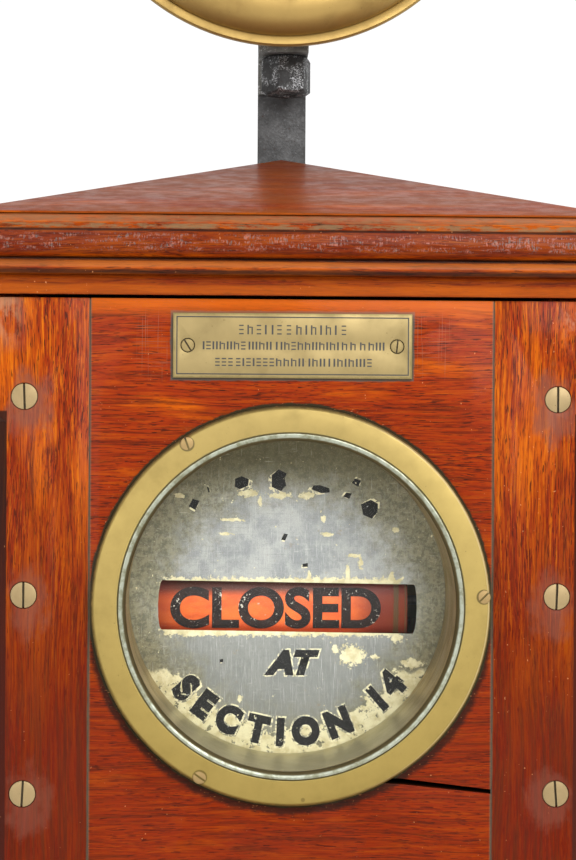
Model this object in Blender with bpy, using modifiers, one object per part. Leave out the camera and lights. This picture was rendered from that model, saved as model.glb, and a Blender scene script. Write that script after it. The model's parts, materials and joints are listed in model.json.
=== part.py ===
"""A railway lock and block signalling instrument: a mahogany case with a glazed dial, whose slot shows one face
of a turning flag, a plunger below it, and a brass-cased semaphore indicator on an iron strap above it.

Every length in this script is in millimetres and every angle in degrees; MM turns lengths into metres where a
mesh is made. +X is to the right, -Y is the front, +Z is up. The origin is the middle of the base's underside.
"""

import math

import bmesh
import bpy
from mathutils import Matrix, Vector

MM = 0.001
GAP = 0.3  # between pieces that touch or rest on each other
REACH = 5  # how far a cutter runs past the wall that it cuts

# Case
HALF_WIDTH = 121
FRONT = -95
BACK = 95
SIDE_THICKNESS = 18
BACK_THICKNESS = 14
FACE_THICKNESS = 16
BOARD_THICKNESS = 18
PLINTH_HEIGHT = 40
FACE_TOP = 358.7
CORNICE_FOOT = 360
CORNICE_HEIGHT = 31
OVERHANG = 11
ROOF_RISE = 50
STILE_WIDTH = 39.75
STILE_JOINT = 0.5
STILE_CHAMFER = 7
CHAMFER_SPAN = (86, 314)
CABLE_HOLE = {"x": -60, "y": 40, "radius": 15}

# Fasteners: each has a head radius, head height, cone height, shank radius, whole length and slot
STILE_SCREW = {"head": 5.2, "rim": 0.8, "cone": 3.4, "shank": 2.4, "length": 34, "slot": 0.9, "steps": 18}
BEZEL_SCREW = {"head": 2.75, "rim": 1.0, "cone": 1.3, "shank": 1.4, "length": 18, "slot": 0.7, "steps": 14}
PLATE_SCREW = {"head": 2.6, "rim": 0.9, "cone": 1.2, "shank": 1.3, "length": 13, "slot": 0.6, "steps": 14}
STILE_SCREW_X = 107
STILE_SCREW_TOP = 319.2
STILE_SCREW_PITCH = 79.4
STILE_SCREW_COUNT = 4
STILE_SLOTS = {"left": (2, 0, -3, 5), "right": (0, -2, 4, -6)}

# Name plate
PLATE_Z = 340
PLATE_SIZE = (95.8, 26)
PLATE_THICKNESS = 1.4
PLATE_SCREWS = {"left": (-42.0, 32), "right": (41.8, -6)}

# Dial
DIAL_Z = 236
BEZEL_RADIUS = 80
BEZEL_BORE = 69.3
BEZEL_SCREW_CIRCLE = 77
BEZEL_SCREW_SLOTS = ((3, -45), (123, 20), (242, 55))
DIAL_HOLE = 70
DIAL_DEPTH = 45
DIAL_PLATE_RADIUS = 74
WINDOW_Z = 231
WINDOW_SIZE = (110, 21)
WINDOW_TILT = -0.8
RING_STEPS = 56

# Flag, turned by a crank on its shaft and a rod from below
FLAG_AXIS_Y = -16
FLAG_RADIUS = 30.3
FLAG_SPAN_X = (-56, 51.3)
FLAG_ANGLES = (-22, 66)  # above the horizontal, seen from the right
SHAFT_RADIUS = 2
CRANK_THROW = 15
FRAME_ARM_X = 61
ROD_X = (70, 74)
ROD_Y = (-7, 1)

# Electric lock
COIL_X = (10, 42)
COIL_Y = 34
COIL_RADIUS = 13
YOKE_Z = (128, 134)
ARMATURE_Z = (181, 185)
ARMATURE_PIVOT_X = -17

# Plunger
PLUNGER_Z = 98
PLUNGER_RADIUS = 4.5
PLUNGER_COLLAR = (-39, -36)
SPRING_TURNS = 6
SPRING_RADIUS = 6.4
SPRING_WIRE = 0.7
BLOCK_Y = (-30, -14)

# Head
HEAD_X = -1
HEAD_Z = 588
HEAD_RIM = 102.5
HEAD_BACK_OF_RIM = 34
DRUM_RADIUS = 89
DRUM_WALL = 2
STRAP_HALF_WIDTH = 12
STRAP_THICKNESS = 6
STRAP_SPAN_Z = (215, 650)
BOLT_PLACE = (1.5, 77)
ARM_PIVOT = (28, 603)

PART = bpy.data.collections.new("lock_and_block_instrument")
CUTTERS = bpy.data.collections.new("cutters")


def column_matrix(x_axis, y_axis, z_axis, origin):
    """The placement whose local axes point along these world axes, with its origin there, in millimetres."""
    matrix = Matrix((x_axis, y_axis, z_axis)).transposed().to_4x4()
    matrix.translation = Vector(origin) * MM
    return matrix


def facing_front(x, y, z):
    """Local X and Y are the world's X and Z, and local Z comes out of the case's front."""
    return column_matrix((1, 0, 0), (0, 0, 1), (0, -1, 0), (x, y, z))


def facing_right(x, y, z):
    """Local X and Y are the world's Y and Z, and local Z points to +X."""
    return column_matrix((0, 1, 0), (0, 0, 1), (1, 0, 0), (x, y, z))


def standing(x, y, z):
    return Matrix.Translation(Vector((x, y, z)) * MM)


def material(name, colour, roughness, metallic):
    made = bpy.data.materials.new(name)
    made.use_nodes = True
    shader = made.node_tree.nodes["Principled BSDF"]
    shader.inputs["Base Color"].default_value = (*colour, 1)
    shader.inputs["Roughness"].default_value = roughness
    shader.inputs["Metallic"].default_value = metallic
    return made


def add(name, mesh, place, paint=None):
    obj = bpy.data.objects.new(name, mesh)
    obj.matrix_world = place
    if paint:
        mesh.materials.append(paint)
        PART.objects.link(obj)
    else:
        obj.display_type = "WIRE"
        obj.hide_render = True
        CUTTERS.objects.link(obj)
    return obj


def block(name, low, high, paint=None):
    """A box between two corners, in world axes."""
    size = [(b - a) * MM for a, b in zip(low, high)]
    centre = [(a + b) / 2 for a, b in zip(low, high)]
    bm = bmesh.new()
    bmesh.ops.create_cube(bm, size=1)
    bmesh.ops.scale(bm, vec=size, verts=bm.verts)
    mesh = bpy.data.meshes.new(name)
    bm.to_mesh(mesh)
    bm.free()
    return add(name, mesh, standing(*centre), paint)


def circle(x, y, radius, steps):
    angles = [math.tau * i / steps for i in range(steps)]
    return [(x + radius * math.cos(a), y + radius * math.sin(a)) for a in angles]


def rectangle(x0, y0, x1, y1):
    return [(x0, y0), (x1, y0), (x1, y1), (x0, y1)]


def arc(x, y, radius_x, radius_y, start, end, steps):
    angles = [math.radians(start + (end - start) * i / steps) for i in range(steps + 1)]
    return [(x + radius_x * math.cos(a), y + radius_y * math.sin(a)) for a in angles]


def sheet(name, outlines, thickness, place, paint=None):
    """A flat outline with its holes, from local Z = 0 to its thickness."""
    curve = bpy.data.curves.new(name, "CURVE")
    curve.dimensions = "2D"
    curve.fill_mode = "BOTH"
    curve.extrude = thickness * MM / 2
    for outline in outlines:
        spline = curve.splines.new("POLY")
        spline.points.add(len(outline) - 1)
        for point, (x, y) in zip(spline.points, outline):
            point.co = (x * MM, y * MM, 0, 1)
        spline.use_cyclic_u = True
    mesh = solid_of(name, curve)
    mesh.transform(Matrix.Translation((0, 0, thickness * MM / 2)))
    return add(name, mesh, place, paint)


def solid_of(name, curve):
    """The closed mesh of a curve, with its caps welded on."""
    guide = bpy.data.objects.new(name + "_curve", curve)
    CUTTERS.objects.link(guide)
    bpy.context.view_layer.update()
    evaluated = guide.evaluated_get(bpy.context.evaluated_depsgraph_get())
    mesh = bpy.data.meshes.new_from_object(evaluated)
    bm = bmesh.new()
    bm.from_mesh(mesh)
    bmesh.ops.remove_doubles(bm, verts=bm.verts, dist=0.001 * MM)
    bmesh.ops.recalc_face_normals(bm, faces=bm.faces)
    bm.to_mesh(mesh)
    bm.free()
    bpy.data.objects.remove(guide)
    return mesh


def turned(name, profile, place, paint=None, steps=RING_STEPS, ring=False):
    """A turned piece about local Z. The profile is (radius, height), down its outer side; a ring's is a loop."""
    mesh = bpy.data.meshes.new(name)
    points = [(r * MM, 0, h * MM) for r, h in profile]
    edges = [(i, i + 1) for i in range(len(points) - 1)]
    if ring:
        edges.append((len(points) - 1, 0))
    mesh.from_pydata(points, edges, [])
    obj = add(name, mesh, place, paint)
    screw = obj.modifiers.new("turn", "SCREW")
    screw.steps = screw.render_steps = steps
    screw.use_merge_vertices = True
    screw.merge_threshold = 0.005 * MM
    screw.use_smooth_shade = False
    return obj


def rod(name, radius, low, high, place, paint=None, steps=16):
    return turned(name, [(0, high), (radius, high), (radius, low), (0, low)], place, paint, steps)


def boolean(obj, operation, *others):
    for other in others:
        modifier = obj.modifiers.new(operation.lower(), "BOOLEAN")
        modifier.operation = operation
        modifier.solver = "EXACT"
        modifier.object = other


def cut(obj, *cutters):
    boolean(obj, "DIFFERENCE", *cutters)


def join(obj, *others):
    boolean(obj, "UNION", *others)


def baked(obj):
    """The mesh that an object's modifiers make."""
    bpy.context.view_layer.update()
    mesh = bpy.data.meshes.new_from_object(obj.evaluated_get(bpy.context.evaluated_depsgraph_get()))
    mesh.name = obj.name
    return mesh


def hold(name, pivot, pieces):
    """An empty on a joint's axis, which carries the pieces that the joint moves."""
    empty = bpy.data.objects.new(name, None)
    empty.location = Vector(pivot) * MM
    PART.objects.link(empty)
    bpy.context.view_layer.update()
    for piece in pieces:
        piece.parent = empty
        piece.matrix_parent_inverse = empty.matrix_world.inverted()


# Case


def cornice_profile():
    """(projection from the case, height above the cornice's foot), anticlockwise from the inner bottom corner."""
    top = CORNICE_HEIGHT
    band = [(GAP, 0), (3, 0)]
    cove = arc(6.2, 4.4, 3.2, 3.0, 180, 90, 4)
    bead = arc(5.2, 10.4, 2.6, 3.05, -80, 90, 6)
    quirk = [(4.4, 13.5), (4.4, 14.2)]
    ovolo = arc(4.4, 20.0, 5.4, 5.8, -90, 20, 7)
    neck = [(9.3, 25.2), (10.6, 27.2)]
    fillet = [(OVERHANG, 27.7), (OVERHANG, top - 0.6), (OVERHANG - 0.6, top), (GAP, top)]
    return band + cove + bead + quirk + ovolo + neck + fillet


def plinth_profile():
    """(projection from the case, height above the base), with a hollow between two small steps at the top."""
    base = [(GAP, 0), (OVERHANG, 0), (OVERHANG, 27)]
    hollow = arc(OVERHANG - 0.8, 36, 7.4, 7.6, -90, -180, 5)
    cap = [(2.8, 39.2), (2.0, PLINTH_HEIGHT), (GAP, PLINTH_HEIGHT)]
    return base + hollow + cap


def moulding(name, profile, foot, outward, paint):
    """One mitred length along a side of the case: the front one has two mitres, a side one has one at the front."""
    out = Vector(outward)
    along = out.cross(Vector((0, 0, 1)))
    front_piece = out.y != 0
    half_run = HALF_WIDTH if front_piece else (BACK - FRONT) / 2
    face = -FRONT if front_piece else HALF_WIDTH
    piece = sheet(name, [profile], 2 * half_run, column_matrix(out, (0, 0, 1), along, out * face + Vector((0, 0, foot))))
    piece.data.transform(Matrix.Translation((0, 0, -half_run * MM)))
    mitre_gap = GAP / 2 * MM
    for vertex in piece.data.vertices:
        end = math.copysign(1, vertex.co.z)
        if front_piece or end * along.y < 0:
            vertex.co.z += end * (vertex.co.x - mitre_gap)
    mesh, place = piece.data, piece.matrix_world.copy()
    bpy.data.objects.remove(piece)
    return add(name, mesh, place, paint)


def mouldings(kind, profile, foot, paint):
    for side, outward in (("front", (0, -1, 0)), ("left", (-1, 0, 0)), ("right", (1, 0, 0))):
        moulding(f"{kind}_{side}", profile, foot, outward, paint)


def roof_cap(paint):
    """A hipped cap whose ridge point is at the back, with a block below that fits inside the cornice."""
    eave = CORNICE_FOOT + CORNICE_HEIGHT + GAP
    width, depth = HALF_WIDTH + OVERHANG, BACK - FRONT + OVERHANG
    lip, block_height = 0.8, 12
    bm = bmesh.new()
    bmesh.ops.create_cube(bm, size=1)
    bmesh.ops.scale(bm, vec=(2 * width, depth, lip), verts=bm.verts)
    bmesh.ops.translate(bm, vec=(0, BACK - depth / 2, eave + lip / 2), verts=bm.verts)
    bm.faces.ensure_lookup_table()
    top = max(bm.faces, key=lambda face: face.calc_center_median().z)
    bottom = min(bm.faces, key=lambda face: face.calc_center_median().z)
    bmesh.ops.inset_region(bm, faces=[bottom], thickness=OVERHANG + 2 * GAP, use_even_offset=True)
    lowered = bmesh.ops.extrude_face_region(bm, geom=[bottom])["geom"]
    bmesh.ops.delete(bm, geom=[bottom], context="FACES_ONLY")
    down = [v for v in lowered if isinstance(v, bmesh.types.BMVert)]
    bmesh.ops.translate(bm, vec=(0, 0, -block_height), verts=down)
    raised = bmesh.ops.extrude_face_region(bm, geom=[top])["geom"]
    bmesh.ops.delete(bm, geom=[top], context="FACES_ONLY")
    for vertex in (v for v in raised if isinstance(v, bmesh.types.BMVert)):
        vertex.co = (0, BACK, eave + ROOF_RISE)
    bmesh.ops.remove_doubles(bm, verts=bm.verts, dist=0.001)
    bmesh.ops.scale(bm, vec=(MM, MM, MM), verts=bm.verts)
    bmesh.ops.recalc_face_normals(bm, faces=bm.faces)
    mesh = bpy.data.meshes.new("roof_cap")
    bm.to_mesh(mesh)
    bm.free()
    return add("roof_cap", mesh, Matrix.Identity(4), paint)


def boards(paint):
    """The box inside the mouldings: base, top, back and two sides."""
    foot = BOARD_THICKNESS + GAP
    head = CORNICE_FOOT + 0.7
    inner = HALF_WIDTH - SIDE_THICKNESS
    edge = HALF_WIDTH - GAP
    base = block("base_board", (-edge, FRONT + GAP, 0), (edge, BACK, BOARD_THICKNESS), paint)
    rod_slot = block(
        "rod_slot",
        (ROD_X[0] - 0.6, ROD_Y[0] - 0.6, -REACH),
        (ROD_X[1] + 0.6, ROD_Y[1] + 0.6, BOARD_THICKNESS + REACH),
    )
    cable_hole = rod(
        "cable_hole",
        CABLE_HOLE["radius"],
        -REACH,
        BOARD_THICKNESS + REACH,
        standing(CABLE_HOLE["x"], CABLE_HOLE["y"], 0),
        steps=24,
    )
    cut(base, rod_slot, cable_hole)
    top_foot = head + GAP
    block("top_board", (-edge, FRONT + GAP, top_foot), (edge, BACK, top_foot + BOARD_THICKNESS), paint)
    block("back_board", (GAP - inner, BACK - BACK_THICKNESS, foot), (inner - GAP, BACK, head), paint)
    side_front = FRONT + FACE_THICKNESS + GAP
    left = block("side_left", (-HALF_WIDTH, side_front, foot), (-inner, BACK, head), paint)
    right = block("side_right", (inner, side_front, foot), (HALF_WIDTH, BACK, head), paint)
    return {"left": left, "right": right}


# Fasteners


def screw_profile(kind, grow=0.0):
    """A countersunk screw with its head's top at height 0. Grown by a clearance, it is the hole for it."""
    head, shank, depth = kind["head"] + grow, kind["shank"] + grow, kind["length"] + grow
    top = REACH if grow else 0
    crown = [(head, top)] if grow else [(head - 0.25, top), (head, top - 0.2)]
    neck = -kind["rim"] - kind["cone"]
    return [(0, top), *crown, (head, -kind["rim"]), (shank, neck), (shank, 2 * shank - depth), (0, -depth)]


def screw_mesh(name, kind):
    """The mesh of a slotted screw, about local Z, with its slot along local Y."""
    blank = turned(name + "_blank", screw_profile(kind), Matrix.Identity(4), steps=kind["steps"])
    slot_depth = 0.22 * kind["head"]
    reach = kind["head"] + 1
    slot = block(name + "_slot", (-kind["slot"] / 2, -reach, -slot_depth), (kind["slot"] / 2, reach, REACH))
    cut(blank, slot)
    mesh = baked(blank)
    for used in (blank, slot):
        bpy.data.objects.remove(used)
    return mesh


def slotted(name, mesh, place, slot_angle, paint):
    if not mesh.materials:
        mesh.materials.append(paint)
    screw = bpy.data.objects.new(name, mesh)
    screw.matrix_world = place @ Matrix.Rotation(math.radians(slot_angle), 4, "Z")
    PART.objects.link(screw)
    return screw


def screw_hole(name, kind, place):
    return turned(name, screw_profile(kind, GAP), place, steps=kind["steps"])


# Front


def stile(side, sign, side_board, paint):
    """An upright of the front, with a stopped chamfer on its outer corner and four screws into the side board."""
    inner, outer = sign * (HALF_WIDTH - STILE_WIDTH), sign * HALF_WIDTH
    low = (min(inner, outer), FRONT, BOARD_THICKNESS + 2 * GAP)
    high = (max(inner, outer), FRONT + FACE_THICKNESS, FACE_TOP)
    made = block(f"stile_{side}", low, high, paint)
    foot, head = CHAMFER_SPAN
    runout, tip = 5, 0.3
    chamfer = [
        (0, head),
        (tip, head),
        (STILE_CHAMFER, head - runout),
        (STILE_CHAMFER, foot + runout),
        (tip, foot),
        (0, foot),
    ]
    cut(made, turned(f"chamfer_{side}", chamfer, standing(outer, FRONT, 0), steps=4))
    hole = screw_hole(f"holes_{side}", STILE_SCREW, facing_front(sign * STILE_SCREW_X, FRONT, STILE_SCREW_TOP))
    row = hole.modifiers.new("row", "ARRAY")
    row.count = STILE_SCREW_COUNT
    row.use_relative_offset = False
    row.use_constant_offset = True
    row.constant_offset_displace = (0, -STILE_SCREW_PITCH * MM, 0)
    cut(made, hole)
    cut(side_board, hole)


def stile_screws(paint):
    mesh = screw_mesh("stile_screw", STILE_SCREW)
    number = 1
    for side, sign in (("left", -1), ("right", 1)):
        for row, slot_angle in enumerate(STILE_SLOTS[side]):
            z = STILE_SCREW_TOP - row * STILE_SCREW_PITCH
            slotted(f"stile_screw_{number}", mesh, facing_front(sign * STILE_SCREW_X, FRONT, z), slot_angle, paint)
            number += 1


def bezel_height(radius):
    """How far the bezel's slightly conical face stands off the panel at this radius."""
    inner, outer = 5.5, 4.6
    return inner + (outer - inner) * (radius - BEZEL_BORE) / (BEZEL_RADIUS - 1 - BEZEL_BORE)


def front_panel(paint):
    """The panel between the stiles, bored for the dial and the plunger, with a shrinkage split at its right."""
    half = HALF_WIDTH - STILE_WIDTH - STILE_JOINT
    foot = BOARD_THICKNESS + 2 * GAP
    outline = rectangle(-half, foot, half, FACE_TOP)
    dial = circle(0, DIAL_Z, DIAL_HOLE, RING_STEPS)
    plunger = circle(0, PLUNGER_Z, 8.4, 24)
    place = facing_front(0, FRONT + FACE_THICKNESS, 0)
    panel = sheet("front_panel", [outline, dial, plunger], FACE_THICKNESS, place, paint)
    split = [(16, 166.5), (46, 164.1), (half + 1, 160.3), (half + 1, 162.1), (44, 166.7), (16, 167.0)]
    cutter = sheet("split", [split], FACE_THICKNESS + 2 * REACH, facing_front(0, FRONT + FACE_THICKNESS + REACH, 0))
    cut(panel, cutter)
    return panel


def name_plate(panel, brass, screw_brass):
    width, height = PLATE_SIZE
    holes = [circle(x, PLATE_Z, PLATE_SCREW["head"] + GAP, 20) for x, _ in PLATE_SCREWS.values()]
    outline = rectangle(-width / 2, PLATE_Z - height / 2, width / 2, PLATE_Z + height / 2)
    sheet("name_plate", [outline, *holes], PLATE_THICKNESS, facing_front(0, FRONT - GAP, 0), brass)
    mesh = screw_mesh("plate_screw", PLATE_SCREW)
    for side, (x, slot_angle) in PLATE_SCREWS.items():
        place = facing_front(x, FRONT - GAP - PLATE_THICKNESS - 0.1, PLATE_Z)
        slotted(f"plate_screw_{side}", mesh, place, slot_angle, screw_brass)
        cut(panel, screw_hole(f"plate_hole_{side}", PLATE_SCREW, place))


def dial_bezel(panel, brass, screw_brass):
    """The flat ring on the panel and the three screws that hold it."""
    rim = BEZEL_RADIUS
    profile = [
        (BEZEL_BORE, bezel_height(BEZEL_BORE) - 0.4),
        (BEZEL_BORE + 0.4, bezel_height(BEZEL_BORE)),
        (rim - 1.6, bezel_height(rim - 1.6)),
        (rim - 0.5, bezel_height(rim) - 0.5),
        (rim, bezel_height(rim) - 1.6),
        (rim, GAP),
        (BEZEL_BORE, GAP),
    ]
    bezel = turned("dial_bezel", profile, facing_front(0, FRONT, DIAL_Z), brass, ring=True)
    mesh = screw_mesh("bezel_screw", BEZEL_SCREW)
    for number, (angle, slot_angle) in enumerate(BEZEL_SCREW_SLOTS, 1):
        x = BEZEL_SCREW_CIRCLE * math.cos(math.radians(angle))
        z = DIAL_Z + BEZEL_SCREW_CIRCLE * math.sin(math.radians(angle))
        place = facing_front(x, FRONT - bezel_height(BEZEL_SCREW_CIRCLE) - 0.1, z)
        slotted(f"bezel_screw_{number}", mesh, place, slot_angle, screw_brass)
        hole = screw_hole(f"bezel_hole_{number}", BEZEL_SCREW, place)
        cut(bezel, hole)
        cut(panel, hole)


def dial_parts(brass, glass, zinc):
    """Behind the bezel: the bead ring, the glass, the tube and the plate whose slot shows the flag."""
    place = facing_front(0, FRONT, DIAL_Z)
    bead = arc(67.5, 3.9, 1.5, 1.6, 180, 0, 6) + [(69.0, 2.75), (66.0, 2.75)]
    turned("bead_ring", bead, place, brass, ring=True)
    rod("dial_glass", 68.9, 0.55, 2.45, place, glass, RING_STEPS)
    tube = [(67.2, 0), (69.4, 0), (69.4, -DIAL_DEPTH), (67.2, -DIAL_DEPTH)]
    turned("dial_tube", tube, place, brass, ring=True)
    width, height = WINDOW_SIZE
    bulge = 1.5
    ends = [
        arc(sign * (width / 2 - bulge), 0, bulge, height / 2, start, start + 180, 6)
        for sign, start in ((1, -90), (-1, 90))
    ]
    tilt = math.radians(WINDOW_TILT)
    drop = WINDOW_Z - DIAL_Z
    window = [
        (x * math.cos(tilt) - y * math.sin(tilt), drop + x * math.sin(tilt) + y * math.cos(tilt))
        for x, y in ends[0] + ends[1]
    ]
    plate_thickness = 1.2
    back = facing_front(0, FRONT + DIAL_DEPTH + GAP + plate_thickness, DIAL_Z)
    sheet("dial_plate", [circle(0, 0, DIAL_PLATE_RADIUS, RING_STEPS), window], plate_thickness, back, zinc)


# Works behind the dial


def flag_frame(brass):
    """A folded strip fixed between the side boards: two forward arms carry the flag's shaft."""
    metal, front, back, flange = 3, -48.2, 11, 28
    arm, reach = FRAME_ARM_X, HALF_WIDTH - SIDE_THICKNESS - GAP
    low, high = WINDOW_Z - 10, WINDOW_Z + 10
    frame = block("flag_frame", (-reach, back - metal, low), (reach, back, high), brass)
    for side, sign in (("left", -1), ("right", 1)):
        for kind, x, near, far in (("arm", arm, front, back - 1), ("flange", reach - metal, back - 1, flange)):
            ends = sorted((sign * x, sign * (x + metal)))
            join(frame, block(f"frame_{kind}_{side}", (ends[0], near, low), (ends[1], far, high)))
    span = arm + metal + REACH
    cut(frame, rod("shaft_bore", SHAFT_RADIUS + GAP, -span, span, facing_right(0, FLAG_AXIS_Y, WINDOW_Z)))


def flag_sheet(paint):
    """A curved plate between two sector-shaped cheeks on one hub."""
    start, end = FLAG_ANGLES
    skin, cheek, hub = 0.8, 1.2, 5
    low, high = FLAG_SPAN_X

    def fan(radius, inset=0):
        # Seen from the right, the flag's front is at local -X.
        return arc(0, 0, radius, radius, 180 - start - inset, 180 - end + inset, 14)

    curved = fan(FLAG_RADIUS) + fan(FLAG_RADIUS - skin)[::-1]
    made = sheet("flag_sheet", [curved], high - low, facing_right(low, FLAG_AXIS_Y, WINDOW_Z), paint)
    wedge = [(0, 0), *fan(FLAG_RADIUS - skin / 2, inset=1.5)]
    for side, x in (("left", low), ("right", high - cheek)):
        place = facing_right(x, FLAG_AXIS_Y, WINDOW_Z)
        join(made, sheet(f"flag_cheek_{side}", [wedge], cheek, place))
    join(made, rod("flag_hub", hub, low, high, facing_right(0, FLAG_AXIS_Y, WINDOW_Z), steps=20))
    cut(made, rod("flag_bore", SHAFT_RADIUS + GAP, low - REACH, high + REACH, facing_right(0, FLAG_AXIS_Y, WINDOW_Z)))
    return made


def flag_shaft(steel):
    """The shaft with its crank, whose pin works in the slot of the lock rod, and a collar at the far end."""
    crank_x, crank_thickness, pin_end = 66, 3, 77
    axis = facing_right(0, FLAG_AXIS_Y, WINDOW_Z)
    end, collar = crank_x + crank_thickness / 2, 4
    profile = [
        (0, end),
        (SHAFT_RADIUS, end),
        (SHAFT_RADIUS, -65),
        (collar, -65),
        (collar, -68),
        (SHAFT_RADIUS, -68),
        (SHAFT_RADIUS, -70),
        (0, -70),
    ]
    shaft = turned("flag_shaft", profile, axis, steel, steps=16)
    web = arc(CRANK_THROW, 0, 4, 4, -83, 83, 8) + arc(0, 0, 4.4, 4.4, 97, 263, 8)
    join(shaft, sheet("crank_web", [web], crank_thickness, facing_right(crank_x, FLAG_AXIS_Y, WINDOW_Z)))
    pin_place = facing_right(0, FLAG_AXIS_Y + CRANK_THROW, WINDOW_Z)
    join(shaft, rod("crank_pin", SHAFT_RADIUS, crank_x + crank_thickness / 2, pin_end, pin_place))
    return shaft


def lock_rod(steel):
    """The rod from the lever frame below. A slot in its head takes the crank pin, and a notch the armature's catch."""
    (back, front), thickness = (ROD_Y[1], ROD_Y[0]), ROD_X[1] - ROD_X[0]
    foot, shoulder, head = 3, 215, 247
    notch_foot, notch_head, notch_depth = 166, 190, 3
    outline = [
        (front, foot),
        (back, foot),
        (back, notch_foot),
        (back - notch_depth, notch_foot),
        (back - notch_depth, notch_head),
        (back, notch_head),
        (back, shoulder),
        (6, shoulder),
        (6, head),
        (-12, head),
        (-12, shoulder),
        (front, shoulder),
    ]
    slot = arc(-0.5, WINDOW_Z, 3, 3, -90, 90, 6) + arc(-5.5, WINDOW_Z, 3, 3, 90, 270, 6)
    eye = circle((front + back) / 2, 9, 2, 14)
    return sheet("lock_rod", [outline, slot, eye], thickness, facing_right(ROD_X[0], 0, 0), steel)


def electric_lock(iron, winding):
    """Two coils on an iron shelf, and above them the armature, whose catch reaches into the lock rod's notch."""
    low, high = YOKE_Z
    back = BACK - BACK_THICKNESS - GAP
    left, right = ARMATURE_PIVOT_X - 2, COIL_X[1] + COIL_RADIUS
    front = COIL_Y - COIL_RADIUS
    yoke = block("magnet_yoke", (left, front, low), (right, back, high), iron)
    join(yoke, block("yoke_foot", (left, back - 6, low - 22), (right, back, low + 1)))
    post = block("yoke_post", (left, COIL_Y - 8, high - 1), (left + 4, COIL_Y + 8, ARMATURE_Z[1] + 6))
    join(yoke, post)
    tongue_slot = block(
        "tongue_slot",
        (left - REACH, COIL_Y - 4, ARMATURE_Z[0] - 1),
        (left + 4 + REACH, COIL_Y + 4, ARMATURE_Z[1] + 1),
    )
    cut(yoke, tongue_slot)
    core_top, flange, inner = ARMATURE_Z[0] - 2.5, COIL_RADIUS, COIL_RADIUS - 1.5
    bobbin_foot, bobbin_top = high + GAP, core_top - 2
    coil = [
        (0, core_top),
        (4, core_top),
        (4, bobbin_top),
        (flange, bobbin_top),
        (flange, bobbin_top - 2),
        (inner, bobbin_top - 2),
        (inner, bobbin_foot + 2),
        (flange, bobbin_foot + 2),
        (flange, bobbin_foot),
        (0, bobbin_foot),
    ]
    for side, x in zip(("left", "right"), COIL_X):
        turned(f"coil_{side}", coil, standing(x, COIL_Y, 0), winding, steps=24)
    foot, thickness = ARMATURE_Z[0], ARMATURE_Z[1] - ARMATURE_Z[0]
    end = ROD_X[1]
    nose = ROD_Y[1] - 2.2
    outline = [
        (left - 3, COIL_Y - 3),
        (left + 5, COIL_Y - 3),
        (left + 5, COIL_Y - 8),
        (ROD_X[0], COIL_Y - 8),
        (ROD_X[0], nose),
        (end, nose),
        (end, COIL_Y + 8),
        (left + 5, COIL_Y + 8),
        (left + 5, COIL_Y + 3),
        (left - 3, COIL_Y + 3),
    ]
    return sheet("armature", [outline], thickness, standing(0, 0, foot), iron)


def terminal_block(ebonite):
    back = BACK - BACK_THICKNESS - GAP
    block("terminal_block", (-96, back - 14, 250), (-36, back, 272), ebonite)


# Plunger


def plunger(brass, steel, ebonite):
    """A push knob on a rod, in a flanged bush. Its spring bears on the contact block behind."""
    place = facing_front(0, FRONT, PLUNGER_Z)
    bore = PLUNGER_RADIUS + GAP
    bush = [
        (bore, 6.0),
        (9.5, 6.0),
        (10.5, 5.0),
        (11.5, 4.3),
        (20.8, 4.3),
        (22, 3.3),
        (22, GAP),
        (8, GAP),
        (8, -22),
        (bore, -22),
    ]
    turned("plunger_bush", bush, place, brass, steps=28, ring=True)
    socket, knob_back, knob_front = 32, 15.5, 40
    dome = arc(0, 33, 16.5, knob_front - 33, 90, 0, 6)[1:]
    neck = arc(16.5, 21.5, 7.5, 6, 110, 200, 4)
    knob = [
        (0, knob_front),
        *dome,
        (16.5, 31),
        (14.5, 29),
        *neck[1:],
        (9.2, knob_back),
        (bore, knob_back),
        (bore, socket),
        (0, socket),
    ]
    knob_piece = turned("plunger_knob", knob, place, brass, steps=28)
    collar_foot, collar_top = PLUNGER_COLLAR
    tail = -85
    shank = [
        (0, socket - GAP),
        (PLUNGER_RADIUS, socket - GAP),
        (PLUNGER_RADIUS, collar_top),
        (8, collar_top),
        (8, collar_foot),
        (PLUNGER_RADIUS, collar_foot),
        (PLUNGER_RADIUS, tail),
        (0, tail),
    ]
    rod_piece = turned("plunger_rod", shank, place, steel, steps=24)
    block_front, block_back = BLOCK_Y
    spring_foot = FRONT - block_front + GAP + SPRING_WIRE
    spring_top = collar_foot - GAP - SPRING_WIRE
    spring(place, spring_foot, spring_top, steel)
    guide = block("contact_block", (-24, block_front, BOARD_THICKNESS + GAP), (24, block_back, 122), ebonite)
    cut(guide, rod("guide_bore", bore, -REACH - 80, -REACH - 55, place, steps=20))
    leaf_back = block_back + GAP + 0.8
    block("contact_leaf", (9, block_back + GAP, 60), (17, leaf_back, 128), brass)
    return [knob_piece, rod_piece]


def spring(place, foot, top, steel):
    """An open coil of round wire about the plunger's rod."""
    points_per_turn = 12
    count = SPRING_TURNS * points_per_turn
    curve = bpy.data.curves.new("plunger_spring", "CURVE")
    curve.dimensions = "3D"
    curve.bevel_depth = SPRING_WIRE * MM
    curve.bevel_resolution = 1
    curve.use_fill_caps = True
    spline = curve.splines.new("POLY")
    spline.points.add(count)
    for i, point in enumerate(spline.points):
        angle = math.tau * i / points_per_turn
        x, y = SPRING_RADIUS * math.cos(angle), SPRING_RADIUS * math.sin(angle)
        point.co = (x * MM, y * MM, (foot + (top - foot) * i / count) * MM, 1)
    add("plunger_spring", solid_of("plunger_spring", curve), place, steel)


# Head


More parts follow.
